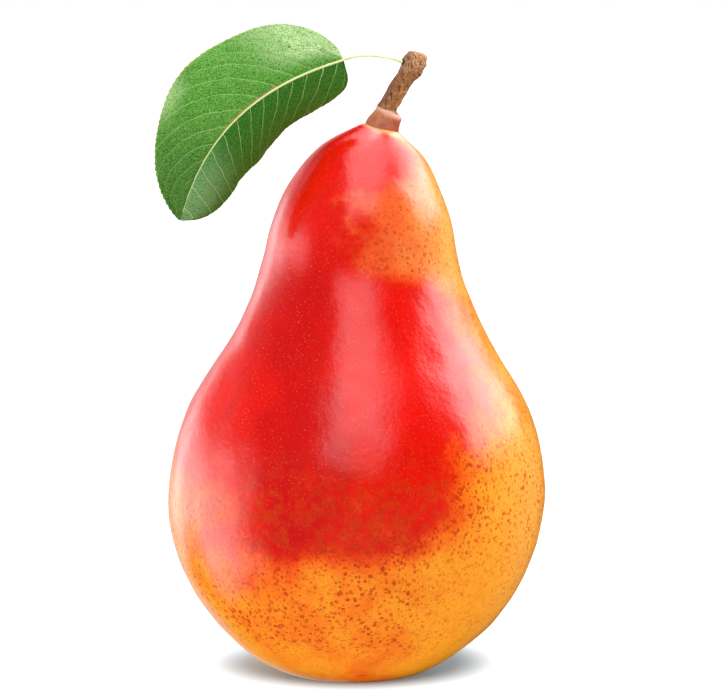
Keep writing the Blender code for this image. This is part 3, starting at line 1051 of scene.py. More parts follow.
@dataclass
class Fruit:
    """The fruit's body: a spun outline, leaning, faintly lobed and with a living surface."""

    axis_x: float
    stem: Stem
    crown_height: float = 105.9 * MM
    crown_pull: float = 5.0 * MM
    neck: Vector = field(default_factory=lambda: Vector((18.0, 83.5)) * MM)
    neck_taper: float = 0.17
    neck_pull_up: float = 13.3 * MM
    neck_pull_down: float = 24.7 * MM
    belly: Vector = field(default_factory=lambda: Vector((36.0, 34.4)) * MM)
    belly_pull_up: float = 23.3 * MM
    belly_pull_down: float = 22.0 * MM
    foot_radius: float = 10.4 * MM
    foot_pull: float = 6.3 * MM
    rim_radius: float = 8.4 * MM
    rim_pull: float = 2.0 * MM
    basin_depth: float = 5.6 * MM
    floor_pull: float = 3.0 * MM
    root_radius: float = 2.2 * MM
    root_depth: float = 2.0 * MM
    lean: float = 0.019
    lean_free_height: float = 36.0 * MM
    crown_shift: float = 1.4 * MM
    crown_shift_start: float = 101.5 * MM
    swell: float = 0.006
    foot_lobe: float = 0.012
    foot_lobe_height: float = 5.0 * MM
    foot_lobe_reach: float = 4.0 * MM
    unevenness: float = 0.34 * MM
    fine_unevenness: float = 0.11 * MM
    foot_to_free: Rise = (0.5 * MM, 7.0 * MM)
    lip: float = 0.12 * MM
    lip_right: float = 0.34 * MM
    lip_reach: float = 2.2 * MM
    lip_start: float = 95.0 * MM
    lip_sides: Rise = (-2.0 * MM, 3.0 * MM)
    steps: int = 160
    outline_steps: int = 40
    swellings: tuple[Swelling, ...] = (
        Swelling(12.0, 92.0 * MM, 46.0, 5.0 * MM, 0.75 * MM),
        Swelling(14.0, 79.5 * MM, 46.0, 6.0 * MM, -0.85 * MM),
        Swelling(31.0, 58.0 * MM, 11.0, 14.0 * MM, -0.30 * MM),
        Swelling(-30.0, 60.0 * MM, 14.0, 22.0 * MM, -0.25 * MM),
        Swelling(-62.0, 66.0 * MM, 22.0, 10.0 * MM, 0.35 * MM),
        Swelling(84.0, 99.5 * MM, 62.0, 4.6 * MM, 0.95 * MM),
    )

    def outline(self) -> list[Vector]:
        """Radius and height from the crown down the outside and up the basin.

        Returns:
            The outline's points.
        """
        up = self.neck + Vector((-self.neck_taper, 1.0)) * self.neck_pull_up
        down = self.neck + Vector((self.neck_taper, -1.0)) * self.neck_pull_down
        crown = Vector((0.0, self.crown_height))
        foot = Vector((self.foot_radius, 0.0))
        rim = Vector((self.rim_radius, 0.0))
        floor = Vector((self.root_radius, self.basin_depth))
        runs = [
            (crown, crown + Vector((self.crown_pull, 0.0)), up, self.neck, self.outline_steps),
            (self.neck, down, self.belly + Vector((0.0, self.belly_pull_up)), self.belly, self.outline_steps),
            (self.belly, self.belly - Vector((0.0, self.belly_pull_down)),
             foot + Vector((self.foot_pull, 0.0)), foot, self.outline_steps),
            (foot, foot * 0.67 + rim * 0.33, foot * 0.33 + rim * 0.67, rim, 3),
            (rim, rim - Vector((self.rim_pull, 0.0)), floor + Vector((self.floor_pull, 0.0)), floor, 18),
        ]
        points = [crown]
        for a, b, c, d, count in runs:
            points += [cubic(a, b, c, d, (i + 1) / count) for i in range(count)]
        deep = self.basin_depth + self.root_depth
        return points + [Vector((self.root_radius, deep)), Vector((0.0, deep))]

    def lean_x(self, height: float) -> float:
        """How far the fruit's middle has leant at a height."""
        top = smoothstep(height, self.crown_shift_start, self.crown_height)
        return self.lean * (height - self.lean_free_height) + self.crown_shift * top

    def grown(self, point: Vector) -> Vector:
        """Carry a point of the spun body to the grown one.

        Args:
            point: The point, from the straight axis.

        Returns:
            Where it lies on the fruit.
        """
        turn = math.atan2(point.y, point.x)
        radius = math.hypot(point.x, point.y)
        swell = 0.6 * math.sin(2 * turn + 0.5) + 0.4 * math.cos(3 * turn)
        swell *= self.swell * math.sin(math.pi * min(max(point.z / self.crown_height, 0.0), 1.0))
        lobe = math.cos(5 * turn) * bell(point.z - self.foot_lobe_height, self.foot_lobe_reach)
        scale = 1 + swell + (self.foot_lobe * lobe if radius > self.foot_radius else 0.0)
        return Vector((point.x * scale + self.lean_x(point.z), point.y * scale, point.z))

    def surface(self, point: Vector, outward: Vector) -> Vector:
        """Add the soft unevenness of skin, and the flesh that rises and dips round the stem.

        Args:
            point: A point of the grown body.
            outward: Its normal.

        Returns:
            The point on the finished skin.
        """
        free = smoothstep(point.z, *self.foot_to_free)
        uneven = self.unevenness * noise.noise(point * 75)
        uneven += self.fine_unevenness * noise.noise(point * 210 + Vector((5, 2, 8)))
        azimuth = math.degrees(math.atan2(point.x - self.lean_x(point.z), -point.y))
        uneven += sum(swelling.at(azimuth, point.z) for swelling in self.swellings)
        moved = point + outward * (uneven * free)
        root, _ = self.stem.middle(0.0)
        foot, radius = self.stem.middle(0.2)
        along = (foot - root).normalized()
        away = ((moved - root) - along * (moved - root).dot(along)).length
        if moved.z > self.lip_start:
            right = smoothstep(moved.x - root.x, *self.lip_sides)
            moved.z += (self.lip + self.lip_right * right) * bell(away - radius, self.lip_reach)
        return moved

    def model(self) -> bpy.types.Object:
        """Spin the outline and grow it.

        Returns:
            The bare fruit.
        """
        piece = Workbench.spun("fruit_skin", self.outline(), self.steps)
        for vertex in piece.data.vertices:
            vertex.co = self.grown(vertex.co)
        piece.data.update()
        moved = [self.surface(vertex.co, vertex.normal) for vertex in piece.data.vertices]
        for vertex, place in zip(piece.data.vertices, moved):
            vertex.co = place + Vector((self.axis_x, 0.0, 0.0))
        Workbench.finish(piece, 60)
        return piece

    def build(self) -> bpy.types.Object:
        """Model and dress the fruit.

        Returns:
            The fruit.
        """
        piece = self.model()
        root, _ = self.stem.middle(0.3)
        paint = SkinPaint(self.axis_x, self.crown_height, root.x, SkinFinish())
        dress(piece, "fruit", "fruit_skin", paint.material())
        return piece


@dataclass
class HalfBlade:
    """One half of the leaf blade: its outline and how it arches back from the midrib."""

    side: Side
    width: float
    base_power: float
    tip_power: float
    sweep: float
    lobe: float
    tilt: float
    arch: float
    wave: float
    vein_sweep: float

    def half_width(self, t: float, end_width: float) -> float:
        """Width of this half at t, 0 at the stalk and 1 at the tip.

        Args:
            t: Place along the midrib.
            end_width: Width left at the very ends.

        Returns:
            The width in metres.
        """
        widest = self.base_power / (self.base_power + self.tip_power)
        rise = (t / widest) ** self.base_power * ((1 - t) / (1 - widest)) ** self.tip_power
        return end_width + (self.width - end_width) * rise

    def margin_shift(self, t: float) -> float:
        """How far the margin at t lies towards the tip, as a share of the midrib."""
        return self.sweep * math.sin(math.pi * t) - self.lobe * math.sqrt(t) * (1 - t) ** 6

    def arched(self, b: float) -> tuple[float, float, float]:
        """Way out from the midrib, way back from the eye and slope, at b along the arched section.

        Args:
            b: Distance from the midrib in metres, measured on the arch.

        Returns:
            Way out, way back and slope.
        """
        bend = self.arch / self.width
        angle = self.tilt + bend * b
        out = (math.sin(angle) - math.sin(self.tilt)) / bend
        back = (math.cos(self.tilt) - math.cos(angle)) / bend
        return out, back, angle


@dataclass
class Leaf:
    """The leaf: an arched, saw-toothed blade with sunken veins, and a stalk that runs on as its midrib."""

    axis_x: float
    rib_knots: tuple[Vector, ...] = field(default_factory=lambda: tuple(Vector(p) * MM for p in (
        (-2.5, -5.0, 118.1), (-19.8, -10.0, 113.1), (-28.7, -15.0, 103.9), (-33.1, -9.0, 88.2))))
    stalk_route: tuple[Vector, ...] = field(default_factory=lambda: tuple(Vector(p) * MM for p in (
        (8.60, -1.22, 117.56), (7.10, -1.95, 118.02), (5.60, -2.50, 118.40), (3.30, -3.20, 118.74),
        (1.20, -3.90, 118.80), (-0.90, -4.50, 118.52))))
    upper: HalfBlade = field(default_factory=lambda: HalfBlade(
        Side.UPPER, 13.6 * MM, 0.62, 0.94, 0.06, 0.01, math.radians(8), math.radians(34), 0.7 * MM, 0.27))
    lower: HalfBlade = field(default_factory=lambda: HalfBlade(
        Side.LOWER, 11.8 * MM, 0.30, 0.34, 0.09, 0.25, math.radians(14), math.radians(36), 0.4 * MM, 0.11))
    roll_base: float = math.radians(-12.0)
    roll_tip: float = math.radians(-14.0)
    end_width: float = 0.35 * MM
    thickness: float = 0.30 * MM
    columns: int = 288
    rows: int = 56
    teeth: int = 48
    tooth_depth: float = 0.30 * MM
    tooth_peak: float = 0.78
    crowding: float = 1.25
    veins: int = 13
    waves: float = 2.3
    wave_start: float = 0.15
    samples: int = 240
    pillow: float = 0.16 * MM
    groove: float = 0.22 * MM
    groove_reach: float = 0.75 * MM
    cockle: float = 0.35 * MM
    stalk_rings: int = 200
    rib_stops: int = 26
    stalk_radius: float = 0.19 * MM
    joint_flare: float = 0.14 * MM
    rib_swell: float = 0.06 * MM
    rib_taper: float = 0.15 * MM
    rib_lift: float = 0.02 * MM

    def __post_init__(self) -> None:
        """Measure the midrib, so that the blade can be laid out along its length."""
        self.places = [cubic(*self.rib_knots, i / self.samples) for i in range(self.samples + 1)]
        self.travelled = [0.0]
        for a, b in zip(self.places, self.places[1:]):
            self.travelled.append(self.travelled[-1] + (b - a).length)
        self.length = self.travelled[-1]

    def rib(self, distance: float) -> tuple[Vector, Vector]:
        """Place and heading on the midrib at a distance from the stalk.

        Args:
            distance: Distance in metres.

        Returns:
            The place and the heading.
        """
        reach = min(max(distance, 0.0), self.length)
        low = 0
        high = self.samples
        while high - low > 1:
            middle = (low + high) // 2
            if self.travelled[middle] <= reach:
                low = middle
            else:
                high = middle
        part = (reach - self.travelled[low]) / (self.travelled[high] - self.travelled[low])
        s = (low + part) / self.samples
        step = 0.5 / self.samples
        ahead = cubic(*self.rib_knots, min(s + step, 1.0))
        behind = cubic(*self.rib_knots, max(s - step, 0.0))
        heading = (ahead - behind).normalized()
        return cubic(*self.rib_knots, s) + heading * min(distance, 0.0), heading

    def frame(self, distance: float) -> tuple[Vector, Vector, Vector, Vector]:
        """Place, heading, direction to the eye and direction to the upper half.

        Args:
            distance: Distance from the stalk in metres.

        Returns:
            Place, heading, eye and side.
        """
        place, heading = self.rib(distance)
        eye = Vector((0.0, -1.0, 0.0))
        eye = (eye - heading * heading.dot(eye)).normalized()
        side = heading.cross(eye)
        along = min(max(distance / self.length, 0.0), 1.0)
        roll = self.roll_base + (self.roll_tip - self.roll_base) * along
        return (place, heading, eye * math.cos(roll) + side * math.sin(roll),
                side * math.cos(roll) - eye * math.sin(roll))

    def vein_phase(self, t: float, share: float, half: HalfBlade) -> float:
        """Count of side veins passed at a point; a vein runs where it is a whole number."""
        back = t - half.vein_sweep * share * (0.90 + 0.15 * share * share)
        return back * self.veins + 0.35 * math.sin(5.0 * back + half.side.value)

    def relief(self, t: float, share: float, half: HalfBlade) -> float:
        """How far the blade swells towards the eye between its veins.

        Args:
            t: Place along the midrib, 0 to 1.
            share: Share of the way out to the margin.
            half: Which half of the blade.

        Returns:
            The height in metres.
        """
        phase = self.vein_phase(t, share, half)
        away = abs(phase - round(phase)) * 2
        pillow = self.pillow * (1 - bell(away, 0.30)) * (1 - 0.6 * share)
        groove = self.groove * bell(share * half.width, self.groove_reach)
        return (pillow - groove) * smoothstep(t, 0.0, 0.06) * smoothstep(t, 1.0, 0.93)

    def point(self, t: float, v: float) -> Vector:
        """A point of the blade's middle surface.

        Args:
            t: Place along the blade, 0 at the stalk and 1 at the tip.
            v: Place across it, -1 at the lower margin and 1 at the upper one.

        Returns:
            The point, from the fruit's axis.
        """
        half = self.upper if v > 0 else self.lower
        share = abs(v)
        inside = smoothstep(t, 0.0, 0.03) * smoothstep(t, 1.0, 0.97)
        saw = (t * self.teeth) % 1.0
        if saw > self.tooth_peak:
            saw = (1 - saw) / (1 - self.tooth_peak) * self.tooth_peak
        tooth = self.tooth_depth * saw * smoothstep(share, 0.93, 1.0)
        tooth *= inside * (0.75 + 0.5 * noise.noise(Vector((t * 23, v, 0.0))))
        distance = self.length * (t + share ** 1.3 * half.margin_shift(t)) + 0.5 * tooth
        place, _, eye, side = self.frame(distance)
        out, back, angle = half.arched(half.half_width(t, self.end_width) * share + tooth)
        wave = half.wave * share * share * math.sin(2 * math.pi * (self.waves * t + self.wave_start))
        wave *= math.sin(math.pi * t)
        cockle = self.cockle * share * noise.noise(Vector((t * 9.0, v * 4.0, 1.5)))
        lift = wave + cockle * inside + self.relief(t, share, half)
        outward = side * (half.side.value * math.sin(angle)) + eye * math.cos(angle)
        return place + side * (half.side.value * out) - eye * back + outward * lift

    def model_blade(self) -> bpy.types.Object:
        """Bend a flat grid into the blade and give it its thickness.

        Returns:
            The bare blade.
        """
        piece = Workbench.sheet("leaf_blade_green", self.columns, self.rows)
        for vertex in piece.data.vertices:
            t = min(max((vertex.co.x + 1) / 2, 0.0), 1.0)
            v = math.copysign(abs(vertex.co.y) ** self.crowding, vertex.co.y)
            vertex.co = self.point(t, v) + Vector((self.axis_x, 0.0, 0.0))
        Workbench.thicken(piece, self.thickness, back_material=1)
        Workbench.finish(piece, 70)
        return piece

    def model_stalk(self) -> bpy.types.Object:
        """Extrude the stalk and let it run on as the midrib, thinning to the tip.

        Returns:
            The bare stalk and midrib.
        """
        piece = Workbench.sleeve("leaf_stalk_and_rib", 16, self.stalk_rings)
        route = list(self.stalk_route)
        for i in range(self.rib_stops):
            place, _, eye, _ = self.frame(self.length * i / (self.rib_stops - 1) * 0.97)
            route.append(place + eye * self.rib_lift)
        for vertex in piece.data.vertices:
            s = vertex.co.z / (self.stalk_rings - 1)
            turn = math.atan2(vertex.co.y, vertex.co.x)
            middle = through(route, s)
            heading = (through(route, min(s + 0.004, 1.0)) - through(route, max(s - 0.004, 0.0))).normalized()
            across = heading.cross(Vector((0.0, -1.0, 0.0))).normalized()
            up = across.cross(heading)
            radius = self.stalk_radius + self.joint_flare * smoothstep(s, 0.03, 0.0)
            radius += self.rib_swell * smoothstep(s, 0.05, 0.22) - self.rib_taper * smoothstep(s, 0.20, 0.95)
            swelling = 1 + 0.08 * noise.noise(middle * 600)
            offset = across * math.cos(turn) + up * math.sin(turn)
            vertex.co = middle + offset * (radius * swelling) + Vector((self.axis_x, 0.0, 0.0))
        Workbench.close_ends(piece)
        Workbench.finish(piece, 60)
        return piece

    def across_blade(self, graph: Graph) -> tuple[Level, Level, Level]:
        """Place along the blade, share of the way out to the margin, and 1 on the upper half.

        Args:
            graph: The node tree.

        Returns:
            Place along, share out and upper half.
        """
        along, across, _ = graph.split(graph.node("UVMap").outputs["UV"])
        across = across * 2.0 - 1.0
        return along, abs(across) ** self.crowding, across.smooth(-0.004, 0.004)

    def side_veins(self, graph: Graph, point: bpy.types.NodeSocket, u: Level, share: Level,
                   upper: Level) -> Level:
        """Draw the side veins, as 1 on a vein.

        Args:
            graph: The blade's material.
            point: The blade's point.
            u: Place along the blade, 0 to 1.
            share: Share of the way out to the margin.
            upper: 1 on the upper half.

        Returns:
            How much of a vein lies at the point.
        """
        wander = (graph.noise(point, 260.0, 3.0, 0.6) - 0.5) * 0.034
        sweep = upper * (self.upper.vein_sweep - self.lower.vein_sweep) + self.lower.vein_sweep
        back = u - share * sweep * (share * share * 0.15 + 0.90) + wander
        beat = graph.math("SINE", back * 5.0 + (upper * 2.0 - 1.0)) * 0.35
        near = abs(graph.math("FRACT", back * float(self.veins) + beat + 0.5) - 0.5)
        return (near / (0.036 - share * 0.022)).smooth(1.0, 0.35)

    def finish_blade(self, colours: LeafFinish) -> bpy.types.Material:
        """The glossy upper face: side veins and a fine pale net over green, with painted shade, sheen,
        highlight and shadow.

        Args:
            colours: The leaf's colours.

        Returns:
            The material.
        """
        graph = Graph("leaf_blade_green")
        point = graph.object_point()
        u, share, upper = self.across_blade(graph)
        vein = self.side_veins(graph, point, u, share, upper)
        fine = graph.net(point, 2500.0).smooth(0.18, 0.02)
        coarse = graph.net(point, 850.0).smooth(0.09, 0.01)
        net = fine * 0.75 + coarse * 0.35
        mottled = graph.noise(point, 330.0, 4.0, 0.7)
        speckle = graph.noise(point, 4200.0, 2.0, 0.8)
        base = graph.mix(mottled.smooth(0.60, 0.35) * 0.45, colours.green, colours.green_dark)
        # Painted sheen: a pale patch on the upper half near the stalk.
        pale_sheen = u.smooth(0.34, 0.12) * upper * share.smooth(0.08, 0.45) * mottled.smooth(0.20, 0.50)
        # Painted highlight: pale where the upper margin rolls back towards the light.
        rolled_highlight = abs(u - 0.56).smooth(0.10, 0.02) * share.smooth(0.70, 0.98) * upper
        # Painted shade: the upper half darkens to olive towards the tip, and its net and pale speckle are
        # dimmed there.
        olive = u.smooth(0.50, 0.80) * upper
        # Painted sheen: a pale bluish-green sheen on the lower half near the tip, strongest by the midrib.
        tip = u.smooth(0.55, 0.86) * (1.0 - upper) * share.smooth(1.1, 0.25)
        dim = 1.0 - olive * 0.55
        # Painted shadow: a brown line beside the midrib on the upper half, where the raised rib would cast
        # its shadow.
        beside = share.smooth(0.050, 0.020) * upper * u.smooth(0.22, 0.32) * u.smooth(0.66, 0.52)
        colour = graph.coats(
            # Painted light and shade: the upper half keeps the lighter green as if lit from above. The lower
            # half is darkened nearly to dark green as if in shade, and the net and pale speckle are laid
            # thinner on it.
            graph.mix(0.92, base, colours.green_dark),
            (upper, base),
            (pale_sheen, colours.pale),
            (rolled_highlight * 0.60, colours.pale),
            (olive * 0.85, colours.olive),
            (tip * 0.85, colours.tip_sheen),
            (net * dim * (upper * 0.45 + 0.30), colours.net),
            (speckle.smooth(0.50, 0.66) * dim * (upper * 0.42 + 0.28), colours.net),
            (speckle.smooth(0.50, 0.38) * 0.80, colours.green_dark),
            (vein * (0.75 - upper * 0.22), colours.vein),
            (beside * 0.75, colours.rib_shadow),
            (share.smooth(0.965, 1.0) * 0.55, colours.edge))
        graph.shade(Base_Color=colour, Roughness=0.45, Specular_IOR_Level=0.16,
                    Normal=graph.bump(net * -0.6 + vein * -0.9 + speckle * 0.5, 0.5, 0.10 * MM))
        graph.shade(Subsurface_Weight=0.08, Subsurface_Radius=(0.5, 1.0, 0.2), Subsurface_Scale=0.5 * MM)
        return graph.material

    def finish_underside(self, colours: LeafFinish) -> bpy.types.Material:
        """The paler, matt underside, with the same net.

        Args:
            colours: The leaf's colours.

        Returns:
            The material.
        """
        graph = Graph("leaf_blade_underside")
        point = graph.object_point()
        net = graph.net(point, 1500.0).smooth(0.16, 0.02)
        vein = self.side_veins(graph, point, *self.across_blade(graph))
        colour = graph.coats(
            colours.green,
            (graph.noise(point, 420.0, 3.0, 0.6).smooth(0.1, 0.6), colours.underside),
            (net * 0.3, colours.vein),
            (vein * 0.8, colours.vein))
        graph.shade(Base_Color=colour, Roughness=0.68, Specular_IOR_Level=0.3,
                    Normal=graph.bump(net + vein, 0.4, 0.12 * MM))
        return graph.material

    def finish_stalk(self, colours: LeafFinish) -> bpy.types.Material:
        """Pale yellow-green stalk, a little darker in streaks.

        Args:
            colours: The leaf's colours.

        Returns:
            The material.
        """
        graph = Graph("leaf_stalk_pale")
        streaks = graph.noise(graph.object_point(scale=Vector((0.3, 1.0, 1.0))), 1500.0, 3.0)
        reddish = graph.noise(graph.object_point(), 320.0).smooth(0.56, 0.72) * 0.35
        colour = graph.coats(
            colours.stalk, (streaks.smooth(0.35, 0.7), colours.rib), (reddish, colours.stalk_red))
        graph.shade(Base_Color=colour, Roughness=0.45, Specular_IOR_Level=0.4,
                    Normal=graph.bump(streaks, 0.25, 0.05 * MM))
        return graph.material

    def build(self) -> list[bpy.types.Object]:
        """Model and dress the blade and the stalk.

        Returns:
            The blade and the stalk.
        """
        colours = LeafFinish()
        blade = self.model_blade()
        dress(blade, "leaf_blade", "leaf_blade", self.finish_underside(colours), self.finish_blade(colours))
        stalk = self.model_stalk()
        dress(stalk, "leaf_stalk", "leaf_stalk", self.finish_stalk(colours))
        return [blade, stalk]


@dataclass
class Calyx:
    """The dried calyx in the basin: a cup, five sepals that bend back, and a ring of withered threads."""

    axis_x: float
    lean_x: float
    cup: tuple[Vector, ...] = field(default_factory=lambda: tuple(Vector(p) * MM for p in (
        (0.0, 7.2), (1.4, 7.2), (1.85, 6.9), (1.9, 6.0), (1.95, 5.3), (2.3, 4.7), (2.6, 4.35), (2.45, 4.15),
        (1.9, 4.5), (1.2, 5.0), (0.5, 5.2), (0.0, 5.2))))
    sepals: int = 5
    sepal_route: tuple[Vector, ...] = field(default_factory=lambda: tuple(Vector(p) * MM for p in (
        (1.5, 5.0), (3.4, 4.9), (5.0, 3.6), (5.2, 1.6))))
    sepal_width: float = 2.5 * MM
    sepal_tip: float = 0.25 * MM
    sepal_thickness: float = 0.28 * MM
    sepal_cupping: float = 0.55 * MM
    crumpling: float = 0.22 * MM
    threads: int = 14
    thread_ring: float = 1.25 * MM
    thread_root: float = 5.0 * MM
    thread_drop: float = 1.9 * MM
    thread_spread: float = 0.9 * MM
    spread_change: float = 0.35 * MM
    thread_radius: float = 0.07 * MM
    bead_swell: float = 0.11 * MM

    def sepal(self, number: int) -> bpy.types.Object:
        """One withered sepal, cupped along its middle and crumpled.

        Args:
            number: Which one, from 0.

        Returns:
            The sepal.
        """
        piece = Workbench.sheet(f"sepal_{number}", 28, 12)
        turn = 2 * math.pi * number / self.sepals + 0.12 * math.sin(number * 2.3)
        outward = Vector((math.cos(turn), math.sin(turn), 0.0))
        sideways = Vector((-math.sin(turn), math.cos(turn), 0.0))
        for vertex in piece.data.vertices:
            t = (vertex.co.x + 1) / 2
            across = vertex.co.y
            place = cubic(*self.sepal_route, t)
            width = self.sepal_width * (0.62 + 0.38 * smoothstep(t, 0.0, 0.3)) * (1 - t ** 1.8)
            width += self.sepal_tip
            crumple = self.crumpling * noise.noise(Vector((t * 4, across * 2, number * 3.1)))
            hollow = self.sepal_cupping * across * across * (1 - t) - crumple
            vertex.co = outward * place.x + sideways * (across * width / 2) + Vector((0, 0, place.y - hollow))
        Workbench.thicken(piece, self.sepal_thickness)
        Workbench.subdivide(piece, 1)
        return piece

    def thread(self, number: int) -> bpy.types.Object:
        """One withered thread with a bead at its end.

        Args:
            number: Which one, from 0.

        Returns:
            The thread.
        """
        piece = Workbench.sleeve(f"thread_{number}", 6, 9)
        turn = 2 * math.pi * number / self.threads + 0.3 * math.sin(number * 1.7)
        outward = Vector((math.cos(turn), math.sin(turn), 0.0))
        reach = self.thread_spread + self.spread_change * math.sin(number * 2.9)
        for vertex in piece.data.vertices:
            t = vertex.co.z / 8
            radius = self.thread_radius + self.bead_swell * smoothstep(t, 0.72, 0.9)
            radius *= 1 - 0.8 * smoothstep(t, 0.93, 1.0)
            height = self.thread_root - self.thread_drop * t
            middle = outward * (self.thread_ring + reach * t * t) + Vector((0.0, 0.0, height))
            angle = math.atan2(vertex.co.y, vertex.co.x)
            vertex.co = middle + outward * (radius * math.cos(angle)) + Vector(
                (-outward.y, outward.x, 0.0)) * (radius * math.sin(angle))
        Workbench.close_ends(piece)
        return piece

    def model(self) -> bpy.types.Object:
        """Spin the cup and add its sepals and threads.

        Returns:
            The bare calyx.
        """
        cup = Workbench.spun("calyx_cup", list(self.cup), 32)
        Workbench.subdivide(cup, 1)
        parts = [cup]
        parts += [self.sepal(number) for number in range(self.sepals)]
        parts += [self.thread(number) for number in range(self.threads)]
        piece = Workbench.fuse(parts, "calyx_husk")
        for vertex in piece.data.vertices:
            vertex.co += Vector((self.axis_x + self.lean_x, 0.0, 0.0))
        Workbench.finish(piece, 60)
        return piece

    def finish(self, colours: CalyxFinish) -> bpy.types.Material:
        """Dry brown husk with paler fibres.

        Args:
            colours: The husk's colours.

        Returns:
            The material.
        """
        graph = Graph("calyx_husk")
        fibres = graph.noise(graph.object_point(), 1900.0, 4.0, 0.65)
        colour = graph.mix(fibres.smooth(0.42, 0.70), colours.husk, colours.husk_pale)
        graph.shade(Base_Color=colour, Roughness=0.85, Specular_IOR_Level=0.25,
                    Normal=graph.bump(fibres, 0.6, 0.12 * MM))
        return graph.material

    def build(self) -> bpy.types.Object:
        """Model and dress the calyx.

        Returns:
            The calyx.
        """
        piece = self.model()
        dress(piece, "calyx", "dried_calyx", self.finish(CalyxFinish()))
        return piece


class Bearing(Enum):
    """What bounds a panel of light: its azimuth, its height, its way sideways, or its way over the top."""

    AZIMUTH = "azimuth"
    ELEVATION = "elevation"
    SIDEWAYS = "sideways"
    OVER = "over"


@dataclass(frozen=True)
class Bound:
    """One pair of soft edges of a panel of light, in degrees, or in hundredths for its way sideways."""

    bearing: Bearing
    low: float
    low_soft: float
    high: float
    high_soft: float


@dataclass(frozen=True)
class Panel:
    """A soft-edged panel of light far out, how bright its face is, and whether skin and bark mirror it."""

    radiance: float
    bounds: tuple[Bound, Bound]
    mirrored: bool = True


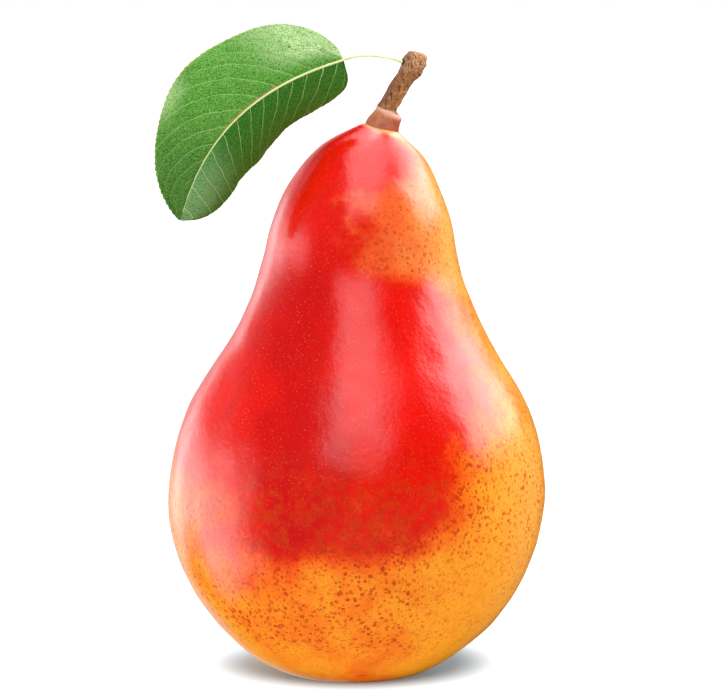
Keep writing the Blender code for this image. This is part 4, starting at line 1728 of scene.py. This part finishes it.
@dataclass
class Studio:
    """A plain white floor, panels of soft light all round and the camera at the photograph's angle."""

    axis_x: float
    target_offset: float = 1.147 * MM
    target_height: float = 62.75 * MM
    distance: float = 0.750
    elevation: float = math.radians(7.0)
    picture_width: int = 725
    pixels_per_mm: float = 5.23
    sensor: float = 36.0
    panels: tuple[Panel, ...] = (
        Panel(3.3, (Bound(Bearing.SIDEWAYS, -33, 9, 35, 17), Bound(Bearing.OVER, 25, 15, 125, 15))),
        Panel(1.3, (Bound(Bearing.SIDEWAYS, -24, 14, 44, 16), Bound(Bearing.OVER, 62, 18, 125, 15))),
        Panel(8.2, (Bound(Bearing.AZIMUTH, 79, 10, 134, 16), Bound(Bearing.ELEVATION, 15, 12, 58, 16))),
        Panel(4.8, (Bound(Bearing.AZIMUTH, -114, 12, -72, 18), Bound(Bearing.ELEVATION, -36, 9, 12, 12))),
        Panel(3.4, (Bound(Bearing.AZIMUTH, -150, 12, -112, 12), Bound(Bearing.ELEVATION, -14, 10, 12, 10))),
        Panel(0.7, (Bound(Bearing.AZIMUTH, -179, 1, -146, 12), Bound(Bearing.ELEVATION, -30, 14, 20, 12))),
        Panel(0.8, (Bound(Bearing.AZIMUTH, -140, 14, -94, 34), Bound(Bearing.ELEVATION, 18, 12, 36, 26))),
        Panel(5.5, (Bound(Bearing.AZIMUTH, 138, 16, 179, 1), Bound(Bearing.ELEVATION, 22, 16, 80, 10))),
        Panel(1.6, (Bound(Bearing.AZIMUTH, -100, 20, -10, 20), Bound(Bearing.ELEVATION, 0, 10, 70, 10)),
              mirrored=False),
    )
    fill_share: float = 0.60
    ambient: float = 0.24
    floor_tone: Colour = (0.42, 0.56, 0.67)
    floor_shade: Colour = (0.135, 0.180, 0.210)
    floor_radius: float = 3.0
    floor_glow: float = 0.12
    gap: float = 0.05 * MM
    floor_shine: float = 1.35
    floor_fade: tuple[float, float] = (19.0 * MM, 33.0 * MM)
    shade_reach: float = 24.0 * MM
    shadow_middle: Vector = field(default_factory=lambda: Vector((-1.0, 10.0, 0.0)) * MM)

    def build_floor(self) -> None:
        """A round white floor that takes a soft shadow near the fruit's foot; the shadow is partly painted,
        by the floor's darker tone there.
        """
        Workbench.clear_selection()
        bpy.ops.mesh.primitive_circle_add(
            vertices=96, radius=self.floor_radius, fill_type="NGON", location=(0.0, 0.0, -self.gap))
        floor = Workbench.name(bpy.context.object, "floor")
        graph = Graph("floor_white")
        x, y, _ = graph.split(graph.object_point(self.shadow_middle + Vector((self.axis_x, 0.0, 0.0))))
        # Painted shadow: near the foot the floor is toned grey-blue, darker towards the right, and past
        # floor_fade it turns to plain glow. So the tone sets the shadow's oval and its darker right side; the
        # cool tint also offsets the orange light bounced from the fruit.
        tone = graph.mix(x.smooth(0.0, self.shade_reach), self.floor_tone, self.floor_shade)
        graph.shade(Base_Color=tone, Roughness=0.9, Specular_IOR_Level=0.0,
                    Emission_Color=(1.0, 1.0, 1.0), Emission_Strength=self.floor_glow)
        shine = graph.node("Emission", Strength=self.floor_shine)
        choose = graph.node("MixShader", Fac=graph.hypot(x, y).smooth(*self.floor_fade))
        graph.set(choose.inputs[1], graph.nodes["Principled BSDF"].outputs[0])
        graph.set(choose.inputs[2], shine.outputs[0])
        graph.set(graph.nodes["Material Output"].inputs["Surface"], choose.outputs[0])
        floor.data.materials.append(graph.material)
        floor.visible_glossy = False

    def build_world(self) -> None:
        """The panels of light round the object, seen as plain white behind it."""
        world = bpy.data.worlds.new("studio")
        bpy.context.scene.world = world
        world.cycles.sampling_method = "NONE"
        graph = Graph("studio", world)
        x, y, z = graph.split(graph.node("TexCoord").outputs["Generated"])
        front = y * -1.0
        bearings = {
            Bearing.AZIMUTH: graph.math("DEGREES", graph.math("ARCTAN2", x, front)),
            Bearing.ELEVATION: graph.math("DEGREES", graph.math("ARCSINE", z)),
            Bearing.SIDEWAYS: x * 100.0,
            Bearing.OVER: graph.math("DEGREES", graph.math("ARCTAN2", z, front)),
        }
        mirror = graph.number(0.0)
        fill = graph.number(self.ambient)
        for panel in self.panels:
            light = graph.number(panel.radiance)
            for bound in panel.bounds:
                place = bearings[bound.bearing]
                rise = place.smooth(bound.low - bound.low_soft, bound.low + bound.low_soft)
                fall = place.smooth(bound.high + bound.high_soft, bound.high - bound.high_soft)
                light = light * (rise * fall)
            fill = fill + light * self.fill_share
            if panel.mirrored:
                mirror = mirror + light
        path = graph.node("LightPath")
        glossy = Level(graph, path.outputs["Is Glossy Ray"])
        strength = mirror * glossy + fill * (1.0 - glossy)
        strength = graph.math("MAXIMUM", strength, Level(graph, path.outputs["Is Camera Ray"]))
        graph.fill(graph.nodes["Background"], Color=(1.0, 1.0, 1.0), Strength=strength)

    def build_camera(self) -> None:
        """The camera, set so that the fruit lies in the picture where the photograph has it."""
        data = bpy.data.cameras.new("eye")
        data.sensor_fit = "HORIZONTAL"
        data.sensor_width = self.sensor
        focal_pixels = self.pixels_per_mm * self.distance / MM
        data.lens = self.sensor * focal_pixels / self.picture_width
        data.clip_start = 0.01
        camera = bpy.data.objects.new("eye", data)
        bpy.context.scene.collection.objects.link(camera)
        target = Vector((self.axis_x + self.target_offset, 0.0, self.target_height))
        away = Vector((0.0, -math.cos(self.elevation), math.sin(self.elevation)))
        camera.location = target + away * self.distance
        camera.rotation_euler = (math.pi / 2 - self.elevation, 0.0, 0.0)
        bpy.context.scene.camera = camera

    def build(self) -> None:
        """Set up the floor, the light and the camera."""
        self.build_camera()
        self.build_floor()
        self.build_world()
        bpy.context.scene.view_settings.view_transform = "Standard"


def main() -> None:
    """Build every sub-assembly in order, after noting which solids the frame holds."""
    logging.basicConfig(level=logging.INFO, format="%(name)s: %(message)s")
    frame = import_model()
    LOG.info("frame holds %s", ", ".join(sorted(frame["nodes"])))
    Studio(AXIS_X).build()
    stem = Stem(AXIS_X)
    fruit = Fruit(AXIS_X, stem)
    fruit.build()
    stem.build()
    Leaf(AXIS_X).build()
    Calyx(AXIS_X, fruit.lean_x(0.0)).build()


if __name__ == "__main__":
    main()
